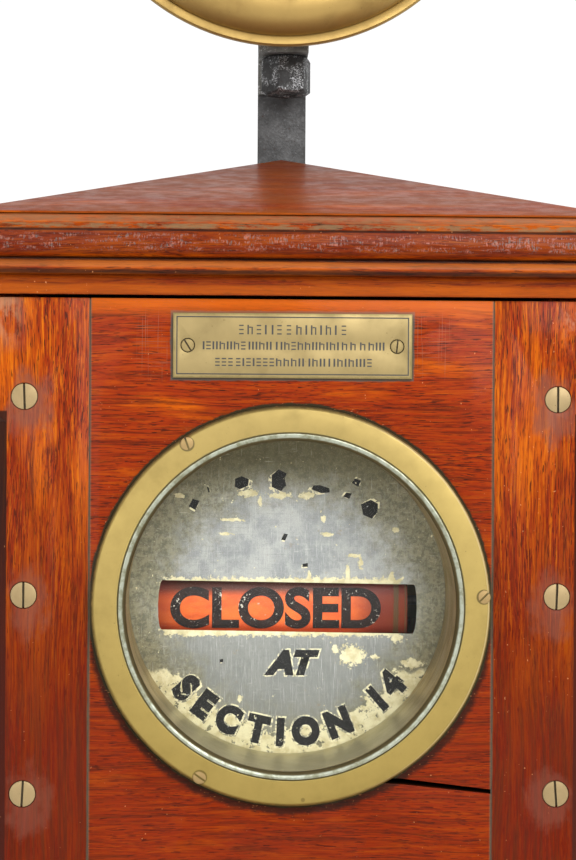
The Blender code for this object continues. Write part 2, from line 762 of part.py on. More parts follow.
def head_mounting(iron):
    """The strap up the back of the case, and the bracket, bolt and nut below the head's drum."""
    half, thickness = STRAP_HALF_WIDTH, STRAP_THICKNESS
    foot, top = STRAP_SPAN_Z
    outline = [(-half, foot), (half, foot), (half, top - half)]
    outline += arc(0, top - half, half, half, 0, 180, 10)[1:-1] + [(-half, top - half)]
    sheet("strap", [outline], thickness, facing_front(0, BACK + GAP + thickness, 0), iron)
    x, y = BOLT_PLACE
    leg, shelf_top, leg_foot = 3, 493, 473.5
    shelf = shelf_top - 4
    corner = [
        (BACK, leg_foot),
        (BACK, shelf_top),
        (y - 15, shelf_top),
        (y - 15, shelf),
        (BACK - leg, shelf),
        (BACK - leg, leg_foot),
    ]
    bracket = sheet("head_bracket", [corner], 2 * half, facing_right(-half, 0, 0), iron)
    seat = HEAD_Z - DRUM_RADIUS - GAP
    join(bracket, rod("bracket_seat", 10, shelf + 1, seat, standing(x, y, 0), steps=24))
    bolt_radius = 5.8
    clearance = rod("bolt_hole", bolt_radius + GAP, shelf - REACH, shelf_top + 12, standing(x, y, 0), steps=24)
    cut(bracket, clearance)
    head_foot, head_top = HEAD_Z - DRUM_RADIUS + DRUM_WALL + 1.8, HEAD_Z - DRUM_RADIUS + DRUM_WALL + 8
    shank_foot = 471.2
    bolt = [
        (0, head_top),
        (8, head_top),
        (9.5, head_top - 1),
        (9.5, head_foot),
        (bolt_radius, head_foot),
        (bolt_radius, shank_foot + 1),
        (bolt_radius - 1, shank_foot),
        (0, shank_foot),
    ]
    turned("head_bolt", bolt, standing(x, y, 0), iron, steps=24)
    nut_top, nut_height, nut_radius, nut_turn = shelf - GAP, 18, 12.4, 12
    nut_foot = nut_top - nut_height
    nut = sheet(
        "head_nut",
        [circle(0, 0, nut_radius, 6), circle(0, 0, bolt_radius + GAP, 16)],
        nut_height,
        standing(x, y, nut_foot) @ Matrix.Rotation(math.radians(nut_turn), 4, "Z"),
        iron,
    )
    dome = [
        (0, nut_height),
        (nut_radius - 2.2, nut_height),
        (nut_radius + 0.4, nut_height - 1.8),
        (nut_radius + 0.4, 1.8),
        (nut_radius - 2.2, 0),
        (0, 0),
    ]
    rounding = turned("nut_rounding", dome, standing(x, y, nut_foot), steps=24)
    boolean(nut, "INTERSECT", rounding)
    return clearance


def head_case(bolt_hole, brass, glass, enamel):
    """The drum, its domed bezel with the glass, and the dial inside."""
    rim_place = facing_front(HEAD_X, HEAD_BACK_OF_RIM, HEAD_Z)
    band, bore = HEAD_RIM - 4.7, 81
    ovolo = arc(bore + 2, 2.6, band - bore - 2, 9.4, 90, 0, 7)
    bezel = [
        (bore, 7),
        (bore, 11.4),
        (bore + 0.6, 12),
        *ovolo,
        (band, 3.2),
        (band + 0.8, 3.8),
        (HEAD_RIM - 0.8, 3.8),
        (HEAD_RIM, 3.0),
        (HEAD_RIM, 0.8),
        (HEAD_RIM - 0.8, 0),
        (bore + 3, 0),
        (bore + 3, 7),
    ]
    turned("head_bezel", bezel, rim_place, brass, ring=True)
    rod("head_glass", bore + 2.7, 4.7, 6.7, rim_place, glass, RING_STEPS)
    back = HEAD_BACK_OF_RIM - BACK
    inner = DRUM_RADIUS - DRUM_WALL
    drum = [
        (0, back + DRUM_WALL),
        (inner, back + DRUM_WALL),
        (inner, -GAP),
        (DRUM_RADIUS, -GAP),
        (DRUM_RADIUS, back),
        (0, back),
    ]
    drum_piece = turned("head_drum", drum, rim_place, brass)
    cut(drum_piece, bolt_hole)
    pivot = (ARM_PIVOT[0] - HEAD_X, ARM_PIVOT[1] - HEAD_Z)
    outline = [circle(0, 0, inner - 1, RING_STEPS), circle(*pivot, SHAFT_RADIUS + GAP, 16)]
    sheet("head_dial", outline, 1.5, facing_front(HEAD_X, 49.5, HEAD_Z), enamel)


def semaphore_arm(paint, steel):
    """The little arm in front of the dial, on a spindle through it."""
    x, z = ARM_PIVOT
    reach, root, tip = -75, 5.5, 7.5
    outline = arc(0, 0, 9, 9, -50, 50, 8) + [(-6, root), (reach, tip), (reach, -tip), (-6, -root)]
    bore = circle(0, 0, SHAFT_RADIUS + GAP, 16)
    arm = sheet("semaphore_arm", [outline, bore], 1.2, facing_front(x, 45.2, z), paint)
    spindle = [
        (0, 3.0),
        (3.2, 3.0),
        (4, 2.2),
        (4, GAP),
        (SHAFT_RADIUS, GAP),
        (SHAFT_RADIUS, -22),
        (6, -22),
        (6, -26),
        (0, -26),
    ]
    pin = turned("arm_spindle", spindle, facing_front(x, 44, z), steel, steps=20)
    return [arm, pin]


def head_coil(winding):
    """The coil that pulls the arm down, on the drum's back."""
    radius, foot, top = 12, 545, 585
    profile = [
        (0, top + 6),
        (4, top + 6),
        (4, top),
        (radius, top),
        (radius, top - 2),
        (radius - 1.5, top - 2),
        (radius - 1.5, foot + 2),
        (radius, foot + 2),
        (radius, foot),
        (0, foot),
    ]
    turned("head_coil", profile, standing(0, BACK - DRUM_WALL - GAP - radius, 0), winding, steps=24)


def build():
    for obj in list(bpy.data.objects):
        bpy.data.objects.remove(obj)
    for collection in (PART, CUTTERS):
        bpy.context.scene.collection.children.link(collection)

    mahogany = material("mahogany", (0.37, 0.07, 0.015), 0.35, 0)
    brass = material("brass", (0.53, 0.39, 0.15), 0.4, 1)
    screw_brass = material("screw_brass", (0.5, 0.4, 0.2), 0.4, 1)
    glass = material("glass", (0.9, 0.95, 0.92), 0.05, 0)
    zinc = material("zinc", (0.48, 0.48, 0.42), 0.5, 0.6)
    flag_paint = material("flag_paint", (0.75, 0.17, 0.05), 0.5, 0)
    iron = material("iron", (0.1, 0.1, 0.095), 0.55, 0.8)
    steel = material("steel", (0.5, 0.5, 0.5), 0.35, 1)
    winding = material("winding", (0.05, 0.2, 0.08), 0.6, 0)
    ebonite = material("ebonite", (0.02, 0.02, 0.02), 0.35, 0)
    enamel = material("enamel", (0.85, 0.84, 0.78), 0.3, 0)
    arm_red = material("arm_red", (0.6, 0.03, 0.02), 0.4, 0)

    sides = boards(mahogany)
    mouldings("plinth", plinth_profile(), 0, mahogany)
    mouldings("cornice", cornice_profile(), CORNICE_FOOT, mahogany)
    roof_cap(mahogany)
    for side, sign in (("left", -1), ("right", 1)):
        stile(side, sign, sides[side], mahogany)
    stile_screws(screw_brass)
    panel = front_panel(mahogany)
    name_plate(panel, brass, screw_brass)
    dial_bezel(panel, brass, screw_brass)
    dial_parts(brass, glass, zinc)

    flag_frame(brass)
    hold("flag_axis", (0, FLAG_AXIS_Y, WINDOW_Z), [flag_sheet(flag_paint), flag_shaft(steel)])
    hold("lock_rod_line", (sum(ROD_X) / 2, sum(ROD_Y) / 2, 0), [lock_rod(steel)])
    armature = electric_lock(iron, winding)
    hold("armature_pivot", (ARMATURE_PIVOT_X, COIL_Y, sum(ARMATURE_Z) / 2), [armature])
    terminal_block(ebonite)
    hold("plunger_line", (0, FRONT, PLUNGER_Z), plunger(brass, steel, ebonite))

    bolt_hole = head_mounting(iron)
    head_case(bolt_hole, brass, glass, enamel)
    hold("arm_pivot", (ARM_PIVOT[0], 44, ARM_PIVOT[1]), semaphore_arm(arm_red, steel))
    head_coil(winding)


build()
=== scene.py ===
# The looks of a railway lock and block instrument: old mahogany, dull brass, a worn zinc dial and its flag.
# Lengths are in millimetres and angles in degrees; MM turns lengths into metres where a mesh is made.
# +X is to the right, -Y is the front, +Z is up, as in the frame.

import json
import math
import random

import bmesh
import bpy
from mathutils import Matrix, Vector


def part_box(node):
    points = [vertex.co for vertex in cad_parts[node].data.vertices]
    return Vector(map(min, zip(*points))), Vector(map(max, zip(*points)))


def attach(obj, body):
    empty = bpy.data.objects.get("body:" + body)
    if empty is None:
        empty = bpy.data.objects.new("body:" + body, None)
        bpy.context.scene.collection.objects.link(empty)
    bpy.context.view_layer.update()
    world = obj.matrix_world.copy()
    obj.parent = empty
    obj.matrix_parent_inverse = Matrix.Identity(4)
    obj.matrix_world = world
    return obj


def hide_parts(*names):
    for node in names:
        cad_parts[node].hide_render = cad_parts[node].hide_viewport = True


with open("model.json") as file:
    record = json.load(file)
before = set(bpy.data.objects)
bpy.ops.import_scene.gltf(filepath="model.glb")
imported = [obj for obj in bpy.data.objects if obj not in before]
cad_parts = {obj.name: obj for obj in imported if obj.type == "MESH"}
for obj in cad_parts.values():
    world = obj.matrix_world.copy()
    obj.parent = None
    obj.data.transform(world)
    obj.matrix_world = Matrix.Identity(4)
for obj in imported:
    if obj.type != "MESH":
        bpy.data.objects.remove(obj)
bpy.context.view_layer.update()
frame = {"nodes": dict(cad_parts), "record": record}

MM = 0.001
NODES = frame["nodes"]
BODY_OF = {node: body for body, nodes in frame["record"]["behaviour"]["bodies"].items() for node in nodes}


def low(node):
    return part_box(node)[0] / MM


def high(node):
    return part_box(node)[1] / MM


def middle(node):
    return (low(node) + high(node)) / 2


# Places taken from the frame
FACE = low("front_panel").y
PANEL_LOW, PANEL_HIGH = low("front_panel"), high("front_panel")
DIAL = middle("dial_bezel")
DIAL_FRONT = low("dial_plate").y
HEAD = middle("head_bezel")
FLAG_AXIS = middle("flag_shaft")
WINDOW_Z = FLAG_AXIS.z
FLAG_RADIUS = FLAG_AXIS.y - low("flag_sheet").y
CORNICE_FOOT = low("cornice_front").z
BEZEL_SCREWS = [middle(f"bezel_screw_{number}") for number in range(1, 4)]
STILE_SCREWS = [middle(f"stile_screw_{number}") for number in range(1, 9)]


def linear(red, green, blue):
    """A colour's linear values from its values of 0 to 255 on a screen."""
    shares = [value / 255 for value in (red, green, blue)]
    return tuple(((c + 0.055) / 1.055) ** 2.4 if c > 0.04 else c / 12.92 for c in shares)


# Shader graphs


class Graph:
    """One material's nodes and its colour so far, with short calls for the patterns that finishes share."""

    def __init__(self, name, roughness=0.5, metallic=0.0, **constants):
        self.material = bpy.data.materials.new(name)
        self.material.use_nodes = True
        self.tree = self.material.node_tree
        self.shader = self.tree.nodes["Principled BSDF"]
        self.shader.inputs["Roughness"].default_value = roughness
        self.shader.inputs["Metallic"].default_value = metallic
        for socket, value in constants.items():
            self.shader.inputs[socket.replace("_", " ")].default_value = value
        coordinates = self.tree.nodes.new("ShaderNodeTexCoord").outputs["Object"]
        self.place = self.vector("MULTIPLY", coordinates, (1 / MM,) * 3)
        split = self.tree.nodes.new("ShaderNodeSeparateXYZ")
        self.feed(split.inputs[0], self.place)
        self.x, self.y, self.z = split.outputs
        self.colour = None

    def feed(self, socket, value):
        if isinstance(value, bpy.types.NodeSocket):
            self.tree.links.new(value, socket)
        elif socket.type == "RGBA":
            socket.default_value = (*value, 1)
        else:
            socket.default_value = value

    def calc(self, operation, *values, clamp=False):
        node = self.tree.nodes.new("ShaderNodeMath")
        node.operation = operation
        node.use_clamp = clamp
        for socket, value in zip(node.inputs, values):
            self.feed(socket, value)
        return node.outputs[0]

    def vector(self, operation, *values):
        node = self.tree.nodes.new("ShaderNodeVectorMath")
        node.operation = operation
        for socket, value in zip(node.inputs, values):
            self.feed(socket, value)
        return node.outputs["Value" if operation in ("LENGTH", "DISTANCE") else "Vector"]

    def noise(self, size, detail=2.0, roughness=0.5, seed=0.0, place=None, output="Fac"):
        """Noise whose lumps are about this large: one length, or one for each axis."""
        sizes = size if isinstance(size, (list, tuple)) else (size,) * 3
        scale = tuple(1 / length for length in sizes)
        node = self.tree.nodes.new("ShaderNodeTexNoise")
        shifted = self.vector("MULTIPLY_ADD", place or self.place, scale, (seed, seed * 0.7, -seed))
        self.feed(node.inputs["Vector"], shifted)
        node.inputs["Scale"].default_value = 1
        node.inputs["Detail"].default_value = detail
        node.inputs["Roughness"].default_value = roughness
        return node.outputs[output]

    def ramp(self, value, start, end, to_start=0.0, to_end=1.0):
        """A smooth step from start to end, which may run downwards."""
        node = self.tree.nodes.new("ShaderNodeMapRange")
        node.interpolation_type = "SMOOTHSTEP"
        for socket, number in zip(node.inputs, (value, start, end, to_start, to_end)):
            self.feed(socket, number)
        return node.outputs[0]

    def band(self, value, start, end, soft):
        """1 between start and end, fading to 0 over a soft edge at both."""
        rise, fall = self.ramp(value, start - soft, start + soft), self.ramp(value, end + soft, end - soft)
        return self.calc("MULTIPLY", rise, fall)

    def mix(self, share, first, second, blend="MIX"):
        node = self.tree.nodes.new("ShaderNodeMix")
        node.data_type = "RGBA"
        node.blend_type = blend
        self.feed(node.inputs[0], share)
        self.feed(node.inputs[6], first)
        self.feed(node.inputs[7], second)
        return node.outputs[2]

    def times(self, *values):
        product = values[0]
        for value in values[1:]:
            product = self.calc("MULTIPLY", product, value)
        return product

    def most(self, *values):
        result = values[0]
        for value in values[1:]:
            result = self.calc("MAXIMUM", result, value)
        return result

    def from_line(self, x, z):
        """The distance from a line along Y at this place."""
        flat = self.vector("MULTIPLY", self.place, (1, 0, 1))
        return self.vector("DISTANCE", flat, (x, 0, z))

    def spot(self, x, z, half_width, half_height, ragged=0.0, edge=None):
        """An oval patch seen from the front, whose edge is broken up by a noise."""
        stretched = self.vector("MULTIPLY", self.place, (1 / half_width, 0, 1 / half_height))
        reach = self.vector("DISTANCE", stretched, (x / half_width, 0, z / half_height))
        if edge is not None:
            reach = self.calc("MULTIPLY_ADD", edge, ragged, reach)
        return reach

    def over(self, share, *tone):
        """Lays a colour, or one given by its values of 0 to 255 on a screen, over the colour so far."""
        self.colour = self.mix(share, self.colour, linear(*tone) if len(tone) == 3 else tone[0])

    def finish(self, roughness=None, height=None, depth=0.05):
        self.feed(self.shader.inputs["Base Color"], self.colour)
        if roughness is not None:
            self.feed(self.shader.inputs["Roughness"], roughness)
        if height is not None:
            bump = self.tree.nodes.new("ShaderNodeBump")
            bump.inputs["Strength"].default_value = 1
            bump.inputs["Distance"].default_value = depth * MM
            self.feed(bump.inputs["Height"], height)
            self.feed(self.shader.inputs["Normal"], bump.outputs[0])
        return self.material


# Finishes

WOOD_TONES = {
    "red": linear(126, 36, 4),
    "orange": linear(164, 72, 2),
    "gold": linear(196, 108, 8),
    "dark": linear(72, 21, 5),
    "deep": linear(88, 14, 0),
    "pore": linear(38, 14, 7),
    "stain": linear(106, 60, 46),
    # dark for real dirt about the screws, and for painted shade in recesses, in the cornice's quirks and
    # about the bezel
    "grime_and_shade": linear(22, 16, 10),
}


def wood(name, grain, seed, warm=0.5, extras=None, fade=0.0, golden=0.3, gloss=0.05):
    """Varnished mahogany whose grain runs along one axis. extras adds wear, stains and painted light for one
    piece; fade is painted shade that darkens the board towards the bottom.
    """
    g = Graph(name, Coat_Weight=gloss, Coat_Roughness=0.12, Coat_IOR=1.45, Specular_IOR_Level=gloss)
    axis = "XYZ".index(grain)

    def along(across, length):
        size = [across] * 3
        size[axis] = length
        return size

    drift = g.vector("SUBTRACT", g.noise(along(30, 120), seed=seed, output="Color"), (0.5, 0.5, 0.5))
    bent = g.vector("MULTIPLY_ADD", drift, (10, 10, 10), g.place)
    tone = g.noise(along(12, 60), 4, 0.62, seed + 3, bent)
    streak = g.noise(along(1.5, 50), 5, 0.7, seed + 5, bent)
    fibre = g.noise(along(0.45, 17), 3, 0.66, seed + 9, bent)
    dash = g.noise(along(0.34, 6), 1, 0.5, seed + 13, bent)
    t = WOOD_TONES
    g.colour = g.mix(g.ramp(tone, warm - 0.16, warm + 0.12), t["orange"], t["red"])
    g.over(g.ramp(streak, 0.5, 0.68, 0, golden), t["gold"])
    g.over(g.ramp(streak, 0.5, 0.34, 0, 0.75), t["dark"])
    g.over(g.ramp(fibre, 0.5, 0.7, 0, golden * 0.8), t["gold"])
    g.over(g.ramp(fibre, 0.48, 0.32, 0, 0.65), t["dark"])
    threshold = g.ramp(tone, 0.35, 0.65, 0.66, 0.56)
    pores = g.ramp(g.calc("SUBTRACT", dash, threshold), 0.0, 0.05, 0, 0.8)
    g.over(pores, t["pore"])
    # painted shade: the board darkens towards the bottom, where less light reaches it
    painted_low_shade = g.ramp(g.z, CORNICE_FOOT - 25, CORNICE_FOOT - 190, 0, fade)
    g.over(painted_low_shade, g.mix(g.ramp(streak, 0.4, 0.6), t["dark"], t["deep"]))
    roughness = g.ramp(g.noise(9, 3, 0.6, seed + 21), 0.3, 0.7, 0.34, 0.5)
    if extras:
        roughness = extras(g, roughness, seed)
    height = g.calc("SUBTRACT", g.times(fibre, 0.5), pores)
    return g.finish(roughness, height, 0.02)


JOINT_DUST = linear(86, 76, 58)
CHAMFER = 7  # along the stile's face and its side
STILE_EDGE = high("stile_right").x - CHAMFER
CHAMFER_TOP, CHAMFER_FOOT = 313, 87


def stile_wear(side):
    """Stains about the screws, dark joints, painted shade on the outer chamfer and, on the left stile, a
    knot.
    """

    def wear(g, roughness, seed):
        edge = g.noise((7, 7, 11), 4, 0.65, seed + 31)
        sign = -1 if side == "left" else 1
        own = [screw for screw in STILE_SCREWS if screw.x * sign > 0]
        for number, screw in enumerate(own):
            reach = g.spot(screw.x + sign * -2, screw.z - 3, 12, 18, 1.6, edge)
            strength = (0.75, 0.5, 0.45, 0.4)[number]
            g.over(g.ramp(reach, 1.75, 1.2, 0, strength), WOOD_TONES["stain"])
            ring = g.from_line(screw.x, screw.z)
            g.over(g.ramp(ring, 5.7, 5.2, 0, 0.4), WOOD_TONES["grime_and_shade"])
        if side == "left":
            knot = g.spot(-97, 290, 5, 15, 1.2, edge)
            flecks = g.ramp(g.noise((0.8, 0.8, 4), 2, 0.6, 4), 0.45, 0.6)
            g.over(g.times(g.ramp(knot, 1.5, 0.9, 0, 0.8), flecks), WOOD_TONES["dark"])
        joint = g.calc("ABSOLUTE", g.calc("SUBTRACT", g.x, sign * abs(PANEL_HIGH.x)))
        worn = g.noise((3, 3, 14), 3, 0.7, seed + 33)
        g.over(g.times(g.ramp(joint, 1.0, 0.3), g.ramp(worn, 0.4, 0.6, 0.3, 0.9)), JOINT_DUST)
        beyond = g.calc("SUBTRACT", g.calc("ABSOLUTE", g.x), STILE_EDGE)
        upper = g.ramp(g.z, CHAMFER_TOP + 0.8, CHAMFER_TOP)
        lower = g.ramp(g.z, CHAMFER_FOOT, CHAMFER_FOOT + 2)
        front = g.ramp(g.y, FACE + CHAMFER + 0.1, FACE + CHAMFER - 0.3)
        chamfer = g.times(g.ramp(beyond, -0.3, 0.1), front, g.times(upper, lower))
        # painted shade: the outer chamfer faces away from the light and is painted dark, darkest near its top
        height = g.ramp(g.z, CHAMFER_TOP - 110, CHAMFER_TOP - 10)
        chamfer_shade = g.mix(height, linear(58, 18, 8), linear(30, 16, 11))
        g.over(g.times(chamfer, 0.92), chamfer_shade)
        bruise = g.times(g.ramp(g.z, CORNICE_FOOT - 26, CORNICE_FOOT - 8), g.ramp(beyond, -9, 0))
        bruise = g.times(bruise, g.ramp(edge, 0.42, 0.6, 0, 0.6))
        g.over(bruise, 150, 112, 84)
        specks(g, seed)
        return roughness

    return wear


def specks(g, seed):
    """Tiny chips of old paint and bare wood."""
    chips = g.ramp(g.noise(1.1, 1, 0.5, seed + 41), 0.755, 0.78)
    scarce = g.ramp(g.noise(16, 2, 0.5, seed + 43), 0.5, 0.6)
    g.over(g.times(chips, scarce, 0.5), 206, 140, 90)


def panel_wear(g, roughness, seed):
    """Dirt and a painted shadow about the bezel, deeper below it, rubbed marks beside the name plate, dark
    joints, and painted shade on the faces set back from the front.
    """
    edge = g.noise(5, 4, 0.65, seed + 31)
    # dirt and painted shadow: a dark ring about the bezel, reaching further below it, where the bezel shades
    # the panel
    ring = g.from_line(DIAL.x, DIAL.z)
    shadow_below = g.ramp(g.z, DIAL.z + 10, DIAL.z - 50, 0.0, 3.2)
    reach = g.calc("SUBTRACT", g.calc("MULTIPLY_ADD", edge, -3.5, ring), shadow_below)
    g.over(g.ramp(reach, 80.0, 77.8, 0, 0.8), WOOD_TONES["grime_and_shade"])
    rim_dirt_and_shadow = g.ramp(g.calc("MULTIPLY_ADD", edge, -1.8, ring), 80.5, 79.9, 0, 0.95)
    g.over(rim_dirt_and_shadow, 44, 40, 24)
    marks = g.ramp(g.noise((1.6, 1.6, 0.6), 3, 0.7, 63), 0.64, 0.72, 0, 0.6)
    scuffed = g.times(g.ramp(ring, 85.5, 82), marks)
    g.over(scuffed, 170, 112, 70)
    plate = middle("name_plate")
    half_width, half_height = (high("name_plate") - plate).x, (high("name_plate") - plate).z
    across = g.calc("SUBTRACT", g.calc("ABSOLUTE", g.calc("SUBTRACT", g.x, plate.x)), half_width)
    above = g.calc("SUBTRACT", g.calc("ABSOLUTE", g.calc("SUBTRACT", g.z, plate.z)), half_height)
    beyond = g.most(across, above)
    margin = g.calc("MULTIPLY_ADD", edge, -1.2, beyond)
    g.over(g.ramp(margin, 0.75, 0.0, 0, 0.85), 70, 74, 66)
    rubbed = g.times(g.band(across, 2, 15, 2.5), g.ramp(above, 3, -4))
    level = g.ramp(g.noise((30, 30, 0.5), 1, 0.5, 2), 0.6, 0.72)
    upright = g.ramp(g.noise((0.5, 30, 30), 1, 0.5, 6), 0.6, 0.72)
    threads = g.most(level, upright)
    g.over(g.times(rubbed, threads, 0.4), 138, 96, 72)
    top_edge = g.ramp(g.z, PANEL_HIGH.z - 9, PANEL_HIGH.z - 0.5, 0, 0.65)
    g.over(top_edge, 186, 88, 6)
    joint = g.calc("SUBTRACT", PANEL_HIGH.x, g.calc("ABSOLUTE", g.x))
    g.over(g.ramp(joint, 0.8, 0.1, 0, 0.6), JOINT_DUST)
    # painted shade: faces set back behind the panel's front, inside the split and at the edges, are painted
    # dark
    inside = g.ramp(g.y, FACE + 0.7, FACE + 1.6, 0, 0.92)
    g.over(inside, WOOD_TONES["grime_and_shade"])
    specks(g, seed)
    return roughness


def cornice_wear(g, roughness, seed):
    """Along the nose of the moulding a blue-grey that is both worn polish and a painted reflection; painted
    shade in its quirks and over the cove, and a painted highlight on the bead.
    """
    height = g.calc("SUBTRACT", g.z, CORNICE_FOOT)
    patches = g.noise((8, 8, 1.8), 5, 0.75, seed + 31)
    rubbed = g.ramp(g.noise((0.7, 0.7, 2.4), 3, 0.7, seed + 33), 0.45, 0.6)
    g.over(g.times(g.band(height, 15.5, 25, 0.8), 0.6), WOOD_TONES["dark"])
    # painted reflection and wear: a blue-grey sheen along the ovolo's nose, broken into rubbed patches
    nose = g.times(g.band(height, 17.2, 23.6, 0.9), g.ramp(patches, 0.46, 0.58, 0, 0.8), rubbed)
    blotches = g.ramp(g.noise(2.0, 4, 0.75, seed + 35), 0.42, 0.58)
    grey = g.mix(blotches, linear(84, 86, 82), linear(150, 92, 76))
    g.over(nose, grey)
    strip = g.times(g.band(height, 25.6, 27.6, 0.4), g.ramp(patches, 0.4, 0.56, 0, 0.75))
    g.over(strip, 116, 100, 72)
    quirks = ((13.5, 14.8, 0.5), (7.6, 9.8, 0.9), (24.6, 25.6, 0.3))  # foot, top and softness of each
    # painted shade: dark in the quirks and on the bead's underside
    quirk_shade = g.most(*[g.band(height, *reach) for reach in quirks])
    g.over(g.times(quirk_shade, 0.85), WOOD_TONES["grime_and_shade"])
    # painted highlight: the bead's upper part lighter
    bead = g.band(height, 10.6, 13.2, 0.6)
    g.over(g.times(bead, 0.6), 136, 82, 42)
    # painted shade: the cove and the lower band darker
    below = g.band(height, -1, 7.6, 0.6)
    g.over(g.times(below, 0.55), WOOD_TONES["dark"])
    lip = g.times(g.band(height, 0.2, 4.0, 0.8), 0.5)
    g.over(lip, 160, 76, 12)
    fillet = g.times(g.band(height, 28, 31, 0.3), g.ramp(patches, 0.35, 0.6, 0.4, 0.85))
    g.over(fillet, 116, 78, 50)
    specks(g, seed)
    return roughness


def roof_wear(g, roughness, seed):
    """A thinner, duller polish on top, with dust and small dents."""
    cloudy = g.ramp(g.noise((90, 26, 14), 3, 0.6, seed + 31), 0.35, 0.6, 0.2, 0.7)
    g.over(cloudy, 116, 56, 14)
    dents = g.ramp(g.noise((2.4, 2.4, 0.9), 2, 0.6, seed + 37), 0.72, 0.76, 0, 0.7)
    g.over(dents, WOOD_TONES["pore"])
    specks(g, seed)
    return g.calc("ADD", roughness, -0.04)


def brass(name, tone, roughness=0.42, metallic=0.85, tarnish=0.35, extras=None):
    """Dulled brass: cloudy, finely scratched and darker where the dirt has stayed."""
    g = Graph(name, metallic=metallic)
    cloud = g.noise(14, 4, 0.6, 3)
    scratch = g.noise((0.35, 0.35, 9), 2, 0.6, 8)
    cross = g.noise((9, 9, 0.35), 2, 0.6, 12)
    deep = tuple(c * s for c, s in zip(tone, (0.66, 0.6, 0.5)))
    light = tuple(min(1, c * 1.12) for c in tone)
    g.colour = g.mix(g.ramp(cloud, 0.35, 0.68), light, tone)
    g.over(g.ramp(cloud, 0.55, 0.8, 0, tarnish), deep)
    g.over(g.ramp(scratch, 0.6, 0.75, 0, 0.25), light)
    spots = g.ramp(g.noise(1.3, 2, 0.6, 17), 0.71, 0.76, 0, 0.6)
    g.over(spots, 92, 74, 40)
    rough = g.ramp(cloud, 0.3, 0.75, roughness - 0.06, roughness + 0.1)
    if extras:
        rough = extras(g, rough)
    height = g.calc("ADD", g.times(scratch, 0.6), g.times(cross, 0.4))
    return g.finish(rough, height, 0.01)


def bezel_wear(g, rough):
    """Green-black dirt at the rim and the bore, and a darker lower half."""
    ring = g.from_line(DIAL.x, DIAL.z)
    ragged = g.noise(3, 3, 0.6, 23)
    outer = g.ramp(g.calc("MULTIPLY_ADD", ragged, 1.4, ring), 79.6, 80.5, 0, 0.85)
    g.over(outer, 58, 58, 34)
    inner = g.ramp(g.calc("MULTIPLY_ADD", ragged, -1.0, ring), 69.4, 68.9, 0, 0.55)
    g.over(inner, 104, 102, 68)
    spot = g.from_line(DIAL.x + 5, DIAL.z - 77)
    g.over(g.ramp(spot, 1.0, 0.6, 0, 0.8), 90, 74, 40)
    for centre in BEZEL_SCREWS:
        around = g.from_line(centre.x, centre.z)
        g.over(g.ramp(around, 3.2, 2.8, 0, 0.8), 60, 48, 24)
    top = g.ramp(g.z, DIAL.z + 40, DIAL.z + 76, 0, 0.3)
    g.over(top, 112, 96, 58)
    lit_rim = g.times(g.band(ring, 78.6, 79.3, 0.15), g.ramp(g.x, 10, 70, 0, 0.6))
    g.over(lit_rim, 224, 204, 150)
    low_half = g.ramp(g.z, DIAL.z + 40, DIAL.z - 80, 0, 0.4)
    g.over(low_half, 126, 105, 38)
    return rough


def silvered(name):
    """The bead that holds the glass: worn silver along its crest, and dirty brass at both its edges."""
    g = Graph(name, metallic=0.7)
    cloud = g.noise(5, 4, 0.7, 5)
    ring = g.calc("MULTIPLY_ADD", g.noise(2.4, 3, 0.7, 9), 0.5, g.from_line(DIAL.x, DIAL.z))
    g.colour = g.mix(g.ramp(cloud, 0.4, 0.65), linear(150, 154, 138), linear(114, 114, 92))
    crest = g.band(ring, 67.5, 69.1, 0.25)
    g.colour = g.mix(crest, linear(88, 78, 50), g.colour)
    return g.finish(g.ramp(cloud, 0.3, 0.7, 0.34, 0.5), g.noise(1.2, 2), 0.01)


def tube_wear(g, rough):
    """Paler towards the tube's foot, and streaked along its turning."""
    depth = g.noise((40, 1.2, 40), 3, 0.6, 15)
    g.over(g.ramp(depth, 0.45, 0.6, 0, 0.5), 92, 76, 46)
    foot = g.ramp(g.z, DIAL.z - 34, DIAL.z - 56, 0, 0.75)
    g.over(foot, 172, 168, 136)
    return rough


def iron(name, tone=(84, 84, 84), worn=0.0):
    """Blackened wrought iron, pitted, with the black rubbed off its high places."""
    g = Graph(name, metallic=0.75)
    cloud = g.noise(9, 4, 0.65, 2)
    pits = g.noise(1.5, 3, 0.7, 9)
    tone = linear(*tone)
    g.colour = g.mix(g.ramp(cloud, 0.35, 0.65), tone, tuple(c * 0.62 for c in tone))
    g.over(g.ramp(pits, 0.6, 0.74, 0, 0.4), 120, 122, 124)
    g.over(g.ramp(pits, 0.36, 0.28, 0, 0.6), 70, 44, 28)
    grains = g.ramp(g.noise(0.7, 4, 0.8, 13), 0.5, 0.58)
    bright = g.times(grains, g.ramp(g.noise(5, 3, 0.6, 19), 0.46, 0.56, 0, worn))
    g.over(bright, 196, 198, 200)
    rough = g.ramp(pits, 0.3, 0.7, 0.66, 0.5)
    return g.finish(rough, g.calc("ADD", pits, g.times(cloud, 0.6)), 0.25)


def steel(name):
    g = Graph(name, metallic=1.0)
    cloud = g.noise(8, 3, 0.6, 6)
    g.colour = g.mix(g.ramp(cloud, 0.4, 0.7), linear(190, 190, 186), linear(140, 136, 126))
    turned_marks = g.noise((0.25, 6, 0.25), 2, 0.5, 11)
    return g.finish(g.ramp(cloud, 0.3, 0.7, 0.28, 0.45), turned_marks, 0.01)


CREAM = linear(224, 218, 180)
ZINC = linear(168, 170, 166)
ZINC_DARK = linear(138, 142, 142)
OLIVE = linear(136, 132, 102)


